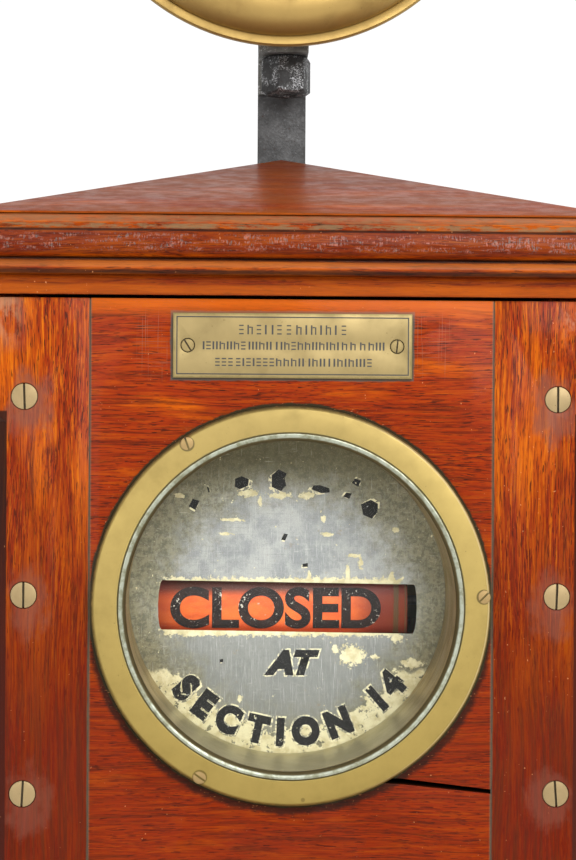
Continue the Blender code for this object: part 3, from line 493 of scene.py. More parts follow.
def dial_ground(g):
    """Bare zinc with brushed marks, scratches and olive patina, under what is left of the cream paint;
    painted shade makes it darker low down and a painted shadow darkens its top.
    """
    cloud = g.noise(11, 5, 0.68, 3)
    upright = g.noise((0.3, 4, 10), 3, 0.65, 8)
    level = g.noise((16, 4, 0.3), 3, 0.65, 12)
    fine = g.noise(0.7, 5, 0.8, 16)
    g.colour = g.mix(g.ramp(cloud, 0.36, 0.64), ZINC, ZINC_DARK)
    # painted shade: the zinc darker below the dial's centre
    g.over(g.ramp(g.z, DIAL.z - 2, DIAL.z - 24, 0, 0.8), 122, 124, 118)
    g.over(g.ramp(upright, 0.54, 0.68, 0, 0.35), 206, 208, 202)
    g.over(g.ramp(level, 0.46, 0.3, 0, 0.4), 104, 110, 110)
    g.over(g.ramp(fine, 0.46, 0.28, 0, 0.5), 104, 106, 96)
    g.over(g.ramp(fine, 0.58, 0.72, 0, 0.4), 212, 212, 202)
    ring = g.from_line(DIAL.x, DIAL.z - 4)
    worn = g.calc("MULTIPLY_ADD", g.noise(8, 6, 0.75, 21), 44, ring)
    patina = g.ramp(worn, 62, 84, 0, 0.85)
    g.over(patina, OLIVE)
    mottle = g.times(patina, g.ramp(g.noise(3, 6, 0.8, 25), 0.56, 0.42, 0, 0.75))
    g.over(mottle, 84, 84, 72)
    pale = g.times(patina, g.ramp(g.noise(1.6, 4, 0.8, 65), 0.58, 0.68, 0, 0.6))
    g.over(pale, 186, 182, 158)
    # painted shadow: the top of the dial darker, where the tube and the bezel shade it
    upper = g.times(g.ramp(g.z, DIAL.z + 40, DIAL.z + 60), g.ramp(fine, 0.35, 0.55, 0.35, 0.8))
    g.over(upper, 100, 96, 68)
    leaning = g.vector("MULTIPLY_ADD", g.vector("MULTIPLY", g.place, (1, 0, 0)), (1, 1, 0.35), g.place)
    scratches = ((41, g.place, (0.16, 4, 9)), (45, leaning, (0.16, 4, 14)), (49, leaning, (12, 4, 0.18)))
    for seed, place, size in scratches:
        scratch = g.ramp(g.noise(size, 1, 0.5, seed, place), 0.73, 0.79, 0, 0.7)
        g.over(scratch, 222, 222, 212)
    brown = g.ramp(g.noise(5, 4, 0.7, 33), 0.64, 0.72, 0, 0.4)
    g.over(brown, 142, 122, 90)


CREAM_PATCHES = (  # x, z from the dial's centre, half width, half height
    (-24, 32, 5.4, 0.8),
    (-26.5, 26, 3.2, 0.8),
    (-12, 40, 0.9, 2.6),
    (-17, 43.5, 4.5, 1.8),
    (-4, 42.5, 5.4, 1.5),
    (8, 42.5, 3.4, 1.6),
    (15, 32.5, 1.2, 1.4),
    (16.5, 26, 2.8, 0.9),
    (28, 17, 3.4, 0.9),
    (31, 14, 1.2, 2.8),
    (25.6, 9, 1.0, 5.5),
    (9, 8, 0.9, 3.6),
    (12.5, 6, 1.2, 2.4),
    (44, 8, 1.3, 2.4),
    (46, 28, 1.5, 1.2),
    (27.5, -25.5, 6.0, 4.6),
    (20.5, -23, 1.4, 2.2),
    (46.5, -18.5, 2.6, 1.8),
    (37, -26, 2.2, 1.0),
    (53, -29, 5.0, 2.4),
    (-20, -44, 1.2, 1.6),
    (-46, 42, 2.2, 1.2),
)


def cream_left(g):
    """Where cream paint is left: beside the slot, under the lower arc of letters, and in odd patches."""
    edge = g.noise(2.0, 5, 0.75, 27)
    coarse = g.noise(5, 5, 0.72, 29)
    drop = g.calc("SUBTRACT", g.z, WINDOW_Z)
    half_width, half_height = 55, 10.5
    beside = g.calc("SUBTRACT", g.calc("ABSOLUTE", drop), half_height)
    beyond = g.calc("SUBTRACT", g.calc("ABSOLUTE", g.calc("ADD", g.x, 2)), half_width - 8)
    slot = g.calc("MULTIPLY_ADD", edge, -9.5, g.most(beside, g.calc("MULTIPLY", beyond, 0.5)))
    slot = g.ramp(slot, -2.7, -3.2)
    ring = g.from_line(DIAL.x, DIAL.z)
    inner = g.calc("MULTIPLY_ADD", g.calc("SUBTRACT", coarse, 0.5), 22, 57)
    below = g.ramp(g.calc("MULTIPLY_ADD", coarse, 10, g.z), DIAL.z - 26, DIAL.z - 28)
    arc = g.times(g.ramp(g.calc("SUBTRACT", ring, inner), 0, 0.3), below)
    chipped = g.ramp(g.noise((5, 5, 5), 4, 0.7, 37), 0.40, 0.415)
    arc = g.times(arc, chipped)
    left = g.most(slot, arc)
    for x, z, width, height in CREAM_PATCHES:
        reach = g.spot(DIAL.x + x, DIAL.z + z, width, height, 3.4, edge)
        left = g.most(left, g.ramp(reach, 2.62, 2.56))
    flecks = g.ramp(g.noise(1.9, 2, 0.6, 51), 0.735, 0.745)
    return g.most(left, flecks)


def dial_surface(name):
    """The dial's zinc, with what is left of its cream paint."""
    g = Graph(name, metallic=0.25, IOR=1.4)
    dial_ground(g)
    cream = cream_left(g)
    shade = g.noise(4, 3, 0.6, 61)
    paint = g.mix(g.ramp(shade, 0.35, 0.7), CREAM, linear(196, 186, 142))
    g.over(cream, paint)
    rough = g.mix(cream, (0.42,) * 3, (0.6,) * 3)
    height = g.calc("ADD", cream, g.times(g.noise(1.0, 2), 0.15))
    return g.finish(rough, height, 0.05)


def halo_paint(name):
    """The cream ground that the signwriter's letters kept about them."""
    g = Graph(name, roughness=0.6)
    dial_ground(g)
    chips = g.ramp(g.noise(2.4, 4, 0.75, 71), 0.48, 0.49)
    g.over(chips, CREAM)
    return g.finish(None, chips, 0.04)


def letter_black(name, kept=0.40):
    """Black signwriting that has flaked here and there to the cream or the zinc."""
    g = Graph(name, roughness=0.65, Specular_IOR_Level=0.3)
    flakes = g.ramp(g.noise(3.2, 4, 0.66, 81), kept, kept - 0.012)
    rubbed = g.ramp(g.noise(1.2, 3, 0.6, 85), 0.4, 0.75, 0, 0.35)
    black = g.mix(rubbed, linear(20, 20, 20), linear(60, 58, 54))
    below = g.mix(g.ramp(g.noise(3, 2, 0.5, 87), 0.45, 0.5), ZINC, CREAM)
    g.colour = g.mix(flakes, black, below)
    return g.finish(None, g.noise(2, 3), 0.03)


def flag_angle(g):
    """The angle about the flag's axis, up from the front, in degrees."""
    up = g.calc("SUBTRACT", g.z, FLAG_AXIS.z)
    out = g.calc("SUBTRACT", FLAG_AXIS.y, g.y)
    return g.calc("MULTIPLY", g.calc("ARCTAN2", up, out), math.degrees(1))


FLAG_FACES_MEET = 21.5


def flag_paint(name):
    """Two painted faces, orange-red below and cream above, both rubbed, with olive-brown strips near the
    right end. On the red face, a painted shadow under the slot's top edge and painted shade at its foot and
    its ends.
    """
    g = Graph(name, roughness=0.5)
    angle = flag_angle(g)
    cloud = g.noise((10, 10, 5), 4, 0.6, 3)
    red = g.mix(g.ramp(cloud, 0.35, 0.68), linear(238, 110, 36), linear(214, 84, 24))
    # painted shadow: the red darkens above 5 degrees, under the slot's top edge
    red = g.mix(g.ramp(angle, 5, 12, 0, 0.93), red, linear(52, 22, 14))
    # painted shade: deeper red towards the foot of the red face
    red = g.mix(g.ramp(angle, -9, -15, 0, 0.7), red, linear(186, 58, 24))
    # painted shade: darker towards both ends of the slot
    end_shade = g.most(g.ramp(g.x, 22, 40, 0, 0.88), g.ramp(g.x, -42, -54, 0, 0.55))
    red = g.mix(end_shade, red, linear(104, 28, 12))
    pale = g.mix(g.ramp(cloud, 0.35, 0.7), linear(228, 222, 196), linear(206, 196, 160))
    g.colour = g.mix(g.ramp(angle, FLAG_FACES_MEET - 0.3, FLAG_FACES_MEET + 0.3), red, pale)
    across = g.calc("MULTIPLY_ADD", g.noise(2.5, 3, 0.6, 7), 0.8, g.x)
    strips = g.most(g.band(across, 45.8, 48.0, 0.25), g.band(across, 50.6, 51.2, 0.15))
    g.over(g.times(strips, 0.85), 84, 70, 40)
    chips = g.ramp(g.noise(2.1, 4, 0.7, 19), 0.70, 0.715)
    scarce = g.ramp(g.noise(14, 2, 0.5, 23), 0.52, 0.6)
    g.over(g.times(chips, scarce), 196, 190, 168)
    scuffs = g.ramp(g.noise((9, 2, 0.5), 2, 0.6, 29), 0.66, 0.74, 0, 0.35)
    g.over(scuffs, 120, 58, 40)
    return g.finish(None, g.noise(2, 3), 0.03)


def flag_black(name):
    g = Graph(name, roughness=0.6, Specular_IOR_Level=0.3)
    chips = g.ramp(g.noise(1.7, 4, 0.7, 91), 0.335, 0.325)
    near = g.ramp(g.from_line(-24, WINDOW_Z + 3), 8, 4, 0.0, 0.14)
    extra = g.ramp(g.calc("ADD", g.noise(1.7, 4, 0.7, 95), near), 0.66, 0.67)
    black = g.mix(g.ramp(g.noise(5, 3, 0.6, 7), 0.4, 0.8), linear(26, 18, 16), linear(52, 34, 28))
    g.colour = g.mix(g.most(chips, extra), black, linear(204, 200, 184))
    return g.finish(None, g.noise(2, 3), 0.03)


def winding(name, tone):
    """Silk-covered wire."""
    g = Graph(name, roughness=0.55, Sheen_Weight=0.3)
    twist = g.noise((0.4, 0.4, 0.25), 2, 0.6, 4)
    g.colour = g.mix(g.ramp(twist, 0.35, 0.65), linear(*tone), tuple(c * 0.5 for c in linear(*tone)))
    return g.finish(None, twist, 0.08)


def ebonite(name):
    g = Graph(name, IOR=1.5)
    bloom = g.noise(12, 4, 0.6, 3)
    g.colour = g.mix(g.ramp(bloom, 0.4, 0.75), linear(26, 24, 24), linear(58, 52, 42))
    return g.finish(g.ramp(bloom, 0.3, 0.7, 0.3, 0.5), g.noise(0.8, 2), 0.01)


def enamel(name):
    """The head's cream enamel dial, a little crazed."""
    g = Graph(name, Coat_Weight=0.4, Coat_Roughness=0.08)
    cloud = g.noise(22, 4, 0.6, 3)
    g.colour = g.mix(g.ramp(cloud, 0.35, 0.7), linear(240, 236, 222), linear(224, 216, 190))
    spots = g.ramp(g.noise(1.4, 3, 0.6, 7), 0.72, 0.76, 0, 0.6)
    g.over(spots, 120, 96, 60)
    return g.finish(g.ramp(cloud, 0.3, 0.7, 0.25, 0.4), g.noise(3, 3), 0.02)


def arm_paint(name):
    """Red with a white band near the tip, as on a full-size signal arm."""
    g = Graph(name, roughness=0.35)
    tip = low("semaphore_arm").x
    band = g.band(g.x, tip + 11, tip + 18, 0.15)
    red = g.mix(g.ramp(g.noise(8, 3, 0.6, 3), 0.35, 0.7), linear(186, 32, 22), linear(150, 26, 20))
    g.colour = g.mix(band, red, linear(232, 228, 214))
    chips = g.ramp(g.noise(1.6, 3, 0.6, 9), 0.72, 0.74)
    g.over(chips, 150, 146, 136)
    return g.finish(None, g.noise(3, 3), 0.02)


def plain_paint(name, tone, roughness=0.5):
    g = Graph(name)
    cloud = g.noise(3, 3, 0.6, 3)
    g.colour = g.mix(g.ramp(cloud, 0.35, 0.75), linear(*tone), tuple(c * 1.7 + 0.004 for c in linear(*tone)))
    return g.finish(g.ramp(cloud, 0.3, 0.7, roughness - 0.08, roughness + 0.1), cloud, 0.01)


def glass(name, haze=0.008):
    """Old window glass: mostly clear, with a little haze, so that light reaches what lies behind."""
    g = Graph(name, roughness=0.04, IOR=1.5)
    g.shader.inputs["Alpha"].default_value = haze
    wave = g.noise(30, 2, 0.5, 3)
    dust = g.ramp(g.noise(2.2, 3, 0.6, 9), 0.3, 0.8)
    g.colour = g.mix(dust, linear(150, 156, 150), linear(206, 208, 200))
    return g.finish(None, wave, 0.05)


def plate_brass(g, rough):
    """Rubbed bright, with dirt in the corners and along the border."""
    plate, reach = middle("name_plate"), high("name_plate") - middle("name_plate")
    from_middle_x = g.calc("ABSOLUTE", g.calc("SUBTRACT", g.x, plate.x))
    from_middle_z = g.calc("ABSOLUTE", g.calc("SUBTRACT", g.z, plate.z))
    inset_x, inset_z = g.calc("SUBTRACT", reach.x, from_middle_x), g.calc("SUBTRACT", reach.z, from_middle_z)
    inset = g.calc("MINIMUM", inset_x, inset_z)
    ragged = g.noise(2.4, 3, 0.6, 31)
    dirt = g.ramp(g.calc("MULTIPLY_ADD", ragged, -1.4, inset), 0.2, -0.4, 0, 0.7)
    g.over(dirt, 104, 92, 52)
    return rough


# Shapes


def unit_place(x_axis, y_axis, z_axis, origin):
    matrix = Matrix((x_axis, y_axis, z_axis)).transposed().to_4x4()
    matrix.translation = Vector(origin) * MM
    return matrix


def facing_front(x, y, z):
    """Local X and Y are the world's X and Z, and local Z comes towards the front."""
    return unit_place((1, 0, 0), (0, 0, 1), (0, -1, 0), (x, y, z))


def facing_back(x, y, z):
    return unit_place((-1, 0, 0), (0, 0, 1), (0, 1, 0), (x, y, z))


def facing_side(sign, x, y, z):
    return unit_place((0, sign, 0), (0, 0, 1), (sign, 0, 0), (x, y, z))


def standing(x, y, z):
    return Matrix.Translation(Vector((x, y, z)) * MM)


def rounded(profile, radius, steps=3):
    """The closed outline with its corners turned on this radius, or less where a side is short."""
    made = []
    count = len(profile)
    for index, corner in enumerate(profile):
        corner = Vector(corner)
        before, after = Vector(profile[index - 1]), Vector(profile[(index + 1) % count])
        if corner.x == 0 and 0 in (before.x, after.x):
            made.append(corner)
            continue
        to_before, to_after = before - corner, after - corner
        reach = min(radius, to_before.length * 0.4, to_after.length * 0.4)
        start, end = corner + to_before.normalized() * reach, corner + to_after.normalized() * reach
        for step in range(steps + 1):
            share = step / steps
            made.append(start * (1 - share) ** 2 + corner * 2 * share * (1 - share) + end * share**2)
    return [tuple(point) for point in made]


def turned(name, profile, steps=96):
    """The mesh that a closed outline of radius and height makes when it is turned about local Z."""
    bm = bmesh.new()
    rings = []
    for radius, height in profile:
        if radius < 1e-4:
            rings.append([bm.verts.new((0, 0, height * MM))])
            continue
        angles = [math.tau * step / steps for step in range(steps)]
        across = radius * MM
        places = [(across * math.cos(a), across * math.sin(a), height * MM) for a in angles]
        rings.append([bm.verts.new(place) for place in places])
    for ring, following in zip(rings, rings[1:] + rings[:1]):
        if len(ring) == len(following) == 1:
            continue
        for step in range(steps):
            corners = [ring[step % len(ring)], ring[(step + 1) % len(ring)]]
            corners += [following[(step + 1) % len(following)], following[step % len(following)]]
            unique = list(dict.fromkeys(corners))
            bm.faces.new(unique)
    return mesh_from(name, bm)


def extruded(name, outline, foot, top, soften=0.0):
    """The mesh of a flat outline in local X and Y, between two heights, with its edges softened."""
    bm = bmesh.new()
    corners = [bm.verts.new((x * MM, y * MM, foot * MM)) for x, y in outline]
    face = bm.faces.new(corners)
    raised = bmesh.ops.extrude_face_region(bm, geom=[face])["geom"]
    for vertex in (v for v in raised if isinstance(v, bmesh.types.BMVert)):
        vertex.co.z = top * MM
    if soften:
        soften_edges(bm, soften)
    return mesh_from(name, bm)


def soften_edges(bm, radius, angle=28, segments=2):
    """Rounds the sharp edges. A face with only sharp edges about it is flat, and keeps its own normal."""
    sharp = [e for e in bm.edges if len(e.link_faces) == 2 and e.calc_face_angle(0) > math.radians(angle)]
    for face in bm.faces:
        turns = [edge.calc_face_angle(0) for edge in face.edges if len(edge.link_faces) == 2]
        face.smooth = any(math.radians(0.5) < turn < math.radians(angle) for turn in turns)
    shape = {"segments": segments, "profile": 0.5, "affect": "EDGES", "clamp_overlap": True}
    made = bmesh.ops.bevel(bm, geom=sharp, offset=radius * MM, **shape)
    for face in made["faces"]:
        face.smooth = True


def mesh_from(name, bm, smooth_angle=38, keep_flat=False):
    bmesh.ops.recalc_face_normals(bm, faces=bm.faces)
    for face in bm.faces:
        face.smooth = face.smooth or not keep_flat
    mesh = bpy.data.meshes.new(name)
    bm.to_mesh(mesh)
    bm.free()
    for attribute in ("custom_normal", "sharp_edge", "sharp_face"):
        if attribute in mesh.attributes:
            mesh.attributes.remove(mesh.attributes[attribute])
    mesh.set_sharp_from_angle(angle=math.radians(smooth_angle))
    return mesh


def show(name, mesh, finish, body="case", place=None, replaces=None):
    """Adds one piece to the scene, riding on its body and, where it says so, standing for a CAD node."""
    materials = finish if isinstance(finish, tuple) else (finish,)
    kept = [min(face.material_index, len(materials) - 1) for face in mesh.polygons]
    mesh.materials.clear()
    for paint in materials:
        mesh.materials.append(paint)
    mesh.polygons.foreach_set("material_index", kept)
    piece = bpy.data.objects.new(name, mesh)
    bpy.context.scene.collection.objects.link(piece)
    if place is not None:
        mesh.transform(place)
    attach(piece, body)
    if replaces:
        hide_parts(replaces)
    return piece


def fine(node, mesh, finish, slot, place=None):
    """Shows a mesh that stands for this CAD node and rides on its body."""
    show(node + "_fine", mesh, finish, BODY_OF[node], place, node)


def refined(node, finish, slot, soften=0.35, segments=2):
    """A copy of a CAD node with its flats merged and its edges softened, which stands for the node."""
    bm = bmesh.new()
    bm.from_mesh(NODES[node].data)
    bmesh.ops.remove_doubles(bm, verts=bm.verts, dist=1e-6)
    bmesh.ops.dissolve_limit(bm, angle_limit=math.radians(0.4), verts=bm.verts, edges=bm.edges)
    soften_edges(bm, soften, segments=segments)
    bmesh.ops.triangulate(bm, faces=[f for f in bm.faces if len(f.verts) > 4])
    fine(node, mesh_from(node + "_fine", bm, keep_flat=True), finish, slot)


def joined(meshes):
    """One bmesh of several meshes."""
    bm = bmesh.new()
    for mesh in meshes:
        bm.from_mesh(mesh)
        bpy.data.meshes.remove(mesh)
    return bm


# Fasteners


def screw_mesh(name, radius, slot, crown=0.0, depth=3.0):
    """A slotted screw head about local Z, its top at height 0, its slot along local Y."""
    profile = [(0, crown)]
    if crown:
        profile += [(radius * 0.5, crown * 0.78), (radius * 0.85, crown * 0.3)]
    profile += [(radius - 0.3, 0.0), (radius - 0.08, -0.1), (radius, -0.4), (radius, -depth), (0, -depth)]
    blank = bpy.data.objects.new(name + "_blank", turned(name, profile, 48))
    half, reach = slot / 2, radius + 1
    corners = [(-half, -reach), (half, -reach), (half, reach), (-half, reach)]
    cutter_mesh = extruded(name + "_slot", corners, -0.28 * radius, crown + 2)
    cutter = bpy.data.objects.new(name + "_cutter", cutter_mesh)
    for obj in (blank, cutter):
        bpy.context.scene.collection.objects.link(obj)
    cut = blank.modifiers.new("slot", "BOOLEAN")
    cut.operation = "DIFFERENCE"
    cut.object = cutter
    bpy.context.view_layer.update()
    evaluated = blank.evaluated_get(bpy.context.evaluated_depsgraph_get())
    bm = bmesh.new()
    bm.from_mesh(evaluated.to_mesh())
    for obj in (blank, cutter):
        bpy.data.objects.remove(obj)
    for face in bm.faces:
        middle_point = face.calc_center_median() / MM
        in_slot = abs(middle_point.x) < half + 0.02 and middle_point.z < crown - 0.05
        face.material_index = int(in_slot and middle_point.z > -0.3 * radius)
    return mesh_from(name, bm, 25)


def screw(name, mesh, place, turn, finish, replaces=None):
    turned_place = place @ Matrix.Rotation(math.radians(turn), 4, "Z")
    show(name, mesh.copy(), finish, "case", turned_place, replaces)


def screws(finish):
    """Every screw that the case shows, with its slot turned as it was left."""
    big = screw_mesh("big_screw", 5.2, 0.9)
    small = screw_mesh("bezel_screw_head", 2.75, 0.75, crown=0.25)
    tiny = screw_mesh("plate_screw_head", 2.6, 0.65, crown=0.2)
    plain = (finish["screw"], finish["slot"])
    stile_turns = enumerate((2, 0, -3, 5, 0, -2, 4, -6), 1)
    bezel_turns = enumerate((-45, 20, 55), 1)
    fronts = [(f"stile_screw_{number}", turn, big, plain, FACE) for number, turn in stile_turns]
    coppery = (finish["copper"], finish["slot"])
    fronts += [(f"bezel_screw_{number}", turn, small, coppery, None) for number, turn in bezel_turns]
    dull = (finish["plate"], finish["slot"])
    for side, turn in (("left", 32), ("right", -6)):
        fronts.append((f"plate_screw_{side}", turn, tiny, dull, None))
    for node, turn, mesh, paints, seat in fronts:
        centre = middle(node)
        front = low(node).y if seat is None else seat
        screw(node + "_fine", mesh, facing_front(centre.x, front, centre.z), turn, paints, node)
    bpy.data.meshes.remove(big)
    board = screw_mesh("board_screw", 3.6, 0.9, crown=0.3)
    rng = random.Random(5)
    for sign, side in ((-1, "left"), (1, "right")):
        foot, top = low(f"side_{side}").z, high(f"side_{side}").z
        for row in range(4):
            z = foot + 40 + row * (top - foot - 70) / 3
            place = facing_side(sign, sign * (high("side_right").x + 0.1), high("back_board").y - 7, z)
            screw(f"side_screw_{side}_{row + 1}", board, place, rng.uniform(0, 180), plain)
    for index, z in enumerate((low("strap").z + 14, low("strap").z + 62, low("strap").z + 118), 1):
        dome = facing_back(0, high("strap").y + 0.2, z)
        screw(f"strap_screw_{index}", board, dome, rng.uniform(0, 180), plain)
    for index, angle in enumerate((45, 135, 225, 315), 1):
        reach = high("head_bezel").x - HEAD.x - 2.6
        x = HEAD.x + reach * math.cos(math.radians(angle))
        z = HEAD.z + reach * math.sin(math.radians(angle))
        place = facing_front(x, high("head_bezel").y - 3.9, z) @ Matrix.Scale(0.62, 4)
        screw(f"head_screw_{index}", board, place, rng.uniform(0, 180), plain)


# Case


def case():
    """Each board with its own grain, and the wear and painted shade that its place gives it."""
    slot = "mahogany"
    vertical = [("stile_left", stile_wear("left"), 11, 0.47), ("stile_right", stile_wear("right"), 23, 0.5)]
    for node, wear, seed, warm in vertical:
        refined(node, wood(node + "_wood", "Z", seed, warm, wear, fade=0.9, golden=0.5), slot, 0.2)
    refined("front_panel", wood("panel_wood", "X", 37, 0.38, panel_wear, fade=0.4, golden=0.14), slot, 0.15)
    mouldings = (("cornice", cornice_wear, 0.25, (41, 43, 47)), ("plinth", None, 0.35, (53, 59, 61)))
    for kind, wear, soften, seeds in mouldings:
        for side, axis, seed in zip(("front", "left", "right"), "XYY", seeds):
            node = f"{kind}_{side}"
            refined(node, wood(node + "_wood", axis, seed, 0.5, wear), slot, soften)
    refined("roof_cap", wood("roof_wood", "X", 67, 0.46, roof_wear, gloss=0.02), slot, 0.3)
    side_wood = wood("side_wood", "Z", 71, 0.52)
    back_wood = wood("back_wood", "Z", 73, 0.55)
    for node in ("side_left", "side_right"):
        refined(node, side_wood, slot, 0.4)
    for node in ("back_board", "base_board", "top_board"):
        refined(node, back_wood, slot, 0.4)


# Front


def joint_dirt(finish):
    """Dust and old polish that fill the joints between the panel and the stiles."""
    for side, sign in (("left", -1), ("right", 1)):
        edges = sorted((sign * (PANEL_HIGH.x + 0.02), sign * (low("stile_right").x - 0.02)))
        foot, top = PANEL_LOW.z + 1, PANEL_HIGH.z - 0.3
        outline = [(edges[0], foot), (edges[1], foot), (edges[1], top), (edges[0], top)]
        mesh = extruded("joint", outline, -1.2, -0.22)
        show(f"joint_dirt_{side}", mesh, finish["dust"], "case", facing_front(0, FACE, 0))


def bezel_rise(radius):
    """How far the bezel's slightly conical face stands off the panel."""
    return 5.5 - 0.9 * (radius - 69.3) / 9.7


def front_metal(finish):
    """The bezel, the bead, the glass and the tube behind it, each turned finely."""
    place = facing_front(DIAL.x, FACE, DIAL.z)
    bezel = [
        (69.3, 0.3),
        (69.3, bezel_rise(69.3)),
        (78.7, bezel_rise(78.7)),
        (80.0, bezel_rise(80) - 1.4),
        (80.0, 0.3),
    ]
    fine("dial_bezel", turned("bezel", rounded(bezel, 0.45), 144), finish["bezel"], "brass", place)
    crest = [(66.5, 4.2), (67.1, 4.9), (67.8, 5.3), (68.5, 5.4)]
    bead = [(66, 2.75), (66, 3.4), *crest, (69.2, 5.2), (69.2, 2.75)]
    fine("bead_ring", turned("bead", rounded(bead, 0.4), 144), finish["silver"], "brass", place)
    pane = rounded([(0, 0.55), (68.9, 0.55), (68.9, 2.45), (0, 2.45)], 0.3)
    fine("dial_glass", turned("pane", pane), finish["glass"], "glass", place)
    depth = high("dial_tube").y - low("dial_tube").y
    ridges = [(67.2 - (0.25 if step % 2 else 0.0), -0.4 - step * 0.5) for step in range(8)]
    wall = [(69.4, 0), (67.2, 0), *ridges, (67.2, -5), (67.2, -depth), (69.4, -depth)]
    fine("dial_tube", turned("tube", wall, 144), finish["tube"], "brass", place)


def name_plate(finish):
    """The plate, its black border line and rows of strokes that stand for lines of text."""
    refined("name_plate", finish["plate"], "brass", 0.2)
    plate, reach = middle("name_plate"), high("name_plate") - middle("name_plate")
    rise, sunk = 0.05, -0.05
    place = facing_front(plate.x, low("name_plate").y, plate.z)
    inset, line = 1.6, 0.45
    half_x, half_z = reach.x - inset, reach.z - inset
    strokes = []
    for sign in (-1, 1):
        strokes.append((0, sign * half_z, 2 * half_x + line, line))
        strokes.append((sign * half_x, 0, line, 2 * half_z - line * 1.01))
    rng = random.Random(12)
    rows = ((6.4, 3.8, 22, 1.5), (0.0, 3.2, 36, 0.7), (-6.6, 3.2, 31, 0.8))
    for middle_z, height, half_row, gap in rows:
        x = -half_row
        while x < half_row:
            kind = rng.choice(("bar", "bar", "dash", "gap", "pair"))
            if kind == "bar":
                strokes.append((x + 0.35, middle_z, 0.7, height))
                x += 0.7 + gap
            elif kind == "dash":
                for level in (-0.5, 0.0, 0.5):
                    strokes.append((x + 0.9, middle_z + level * (height - 0.5), 1.8, 0.5))
                x += 1.8 + gap
            elif kind == "pair":
                strokes.append((x + 0.3, middle_z, 0.6, height))
                strokes.append((x + 1.15, middle_z + height * 0.25, 0.9, 0.5))
                strokes.append((x + 1.9, middle_z - height * 0.1, 0.5, height * 0.8))
                x += 2.2 + gap
            else:
                x += 0.5
    meshes = []
    for x, z, width, height in strokes:
        box = [(x - width / 2, z - height / 2), (x + width / 2, z - height / 2)]
        box += [(x + width / 2, z + height / 2), (x - width / 2, z + height / 2)]
        meshes.append(extruded("stroke", box, sunk, rise))
    strokes_mesh = mesh_from("plate_engraving", joined(meshes))
    show("plate_engraving", strokes_mesh, finish["ink"], "case", place)


# Lettering on the dial and the flag

CAP_TEXT = "H"


def letter_mesh(text, height, weight=0.0, slant=0.0, narrow=1.0, grow=0.0, thickness=0.06):
    """Letters of this height in millimetres, centred on the origin in local X and Y, on local Z 0."""

    def outline(body, extra):
        curve = bpy.data.curves.new("letters", "FONT")
        curve.body = body
        curve.align_x = "CENTER"
        curve.shear = slant
        curve.offset = weight + extra
        curve.resolution_u = 8
        obj = bpy.data.objects.new("letters", curve)
        bpy.context.scene.collection.objects.link(obj)
        bpy.context.view_layer.update()
        mesh = bpy.data.meshes.new_from_object(obj.evaluated_get(bpy.context.evaluated_depsgraph_get()))
        bpy.data.objects.remove(obj)
        bpy.data.curves.remove(curve)
        return mesh

    cap = outline(CAP_TEXT, 0)
    cap_height = max(v.co.y for v in cap.vertices) - min(v.co.y for v in cap.vertices)
    cap_foot = min(v.co.y for v in cap.vertices)
    bpy.data.meshes.remove(cap)
    scale = height / cap_height
    flat = outline(text, grow / scale)
    bm = bmesh.new()
    bm.from_mesh(flat)
    bpy.data.meshes.remove(flat)
    bmesh.ops.remove_doubles(bm, verts=bm.verts, dist=1e-5)
    for vertex in bm.verts:
        vertex.co.x *= narrow * scale * MM
        vertex.co.y = (vertex.co.y - cap_foot - cap_height / 2) * scale * MM
        vertex.co.z = 0
    raised = bmesh.ops.extrude_face_region(bm, geom=list(bm.faces))["geom"]
    for vertex in (v for v in raised if isinstance(v, bmesh.types.BMVert)):
        vertex.co.z = thickness * MM
    return mesh_from("letters", bm)


LOWER_WORDS = "SECTION 14"
MIDDLE_WORD = "AT"
FLAG_WORDS = ("CLOSED", "OPEN")


def along_arc(text, height, weight, radius, gap, middle_angle, **look):
    """Letters along the foot of a circle about local Z, each given the room that its width needs."""
    letters = [None if letter == " " else letter_mesh(letter, height, weight, **look) for letter in text]
    grow = look.get("grow", 0.0)
    space = height * 0.5
    widths = [space if mesh is None else width_of(mesh) / MM - 2 * grow for mesh in letters]
    reach = sum(widths) + gap * (len(text) - 1)
    travelled = -reach / 2
    placed = []
    for mesh, width in zip(letters, widths):
        angle = math.degrees((travelled + width / 2) / radius) + middle_angle
        travelled += width + gap
        if mesh is not None:
            turn = Matrix.Rotation(math.radians(angle), 4, "Z")
            mesh.transform(turn @ Matrix.Translation((0, -radius * MM, 0)))
            placed.append(mesh)
    return placed


def width_of(mesh):
    across = [vertex.co.x for vertex in mesh.vertices]
    return max(across) - min(across)


def dial_letters(finish):
    """Signwritten words on the dial: black, each on its own rest of cream."""
    centre = facing_front(DIAL.x, DIAL_FRONT, DIAL.z)
    lower = ((0.7, 0.05, "halo", "lower_ground"), (0.0, 0.1, "black", "lower_letters"))
    for grow, top, paint, name in lower:
        look = {"narrow": 0.92, "grow": grow, "thickness": top}
        meshes = along_arc(LOWER_WORDS, 12.2, 0.074, radius=58.2, gap=3.2, middle_angle=1.5, **look)
        show(name, mesh_from(name, joined(meshes)), finish[paint], "case", centre)
    centred = ((0.6, 0.05, "halo", "middle_ground"), (0.0, 0.1, "black", "middle_letters"))
    for grow, top, paint, name in centred:
        mesh = letter_mesh(MIDDLE_WORD, 10.8, 0.075, slant=0.28, narrow=1.08, grow=grow, thickness=top)
        place = facing_front(DIAL.x + 1, DIAL_FRONT, DIAL.z - 28.6)
        show(name, mesh, finish[paint], "case", place)


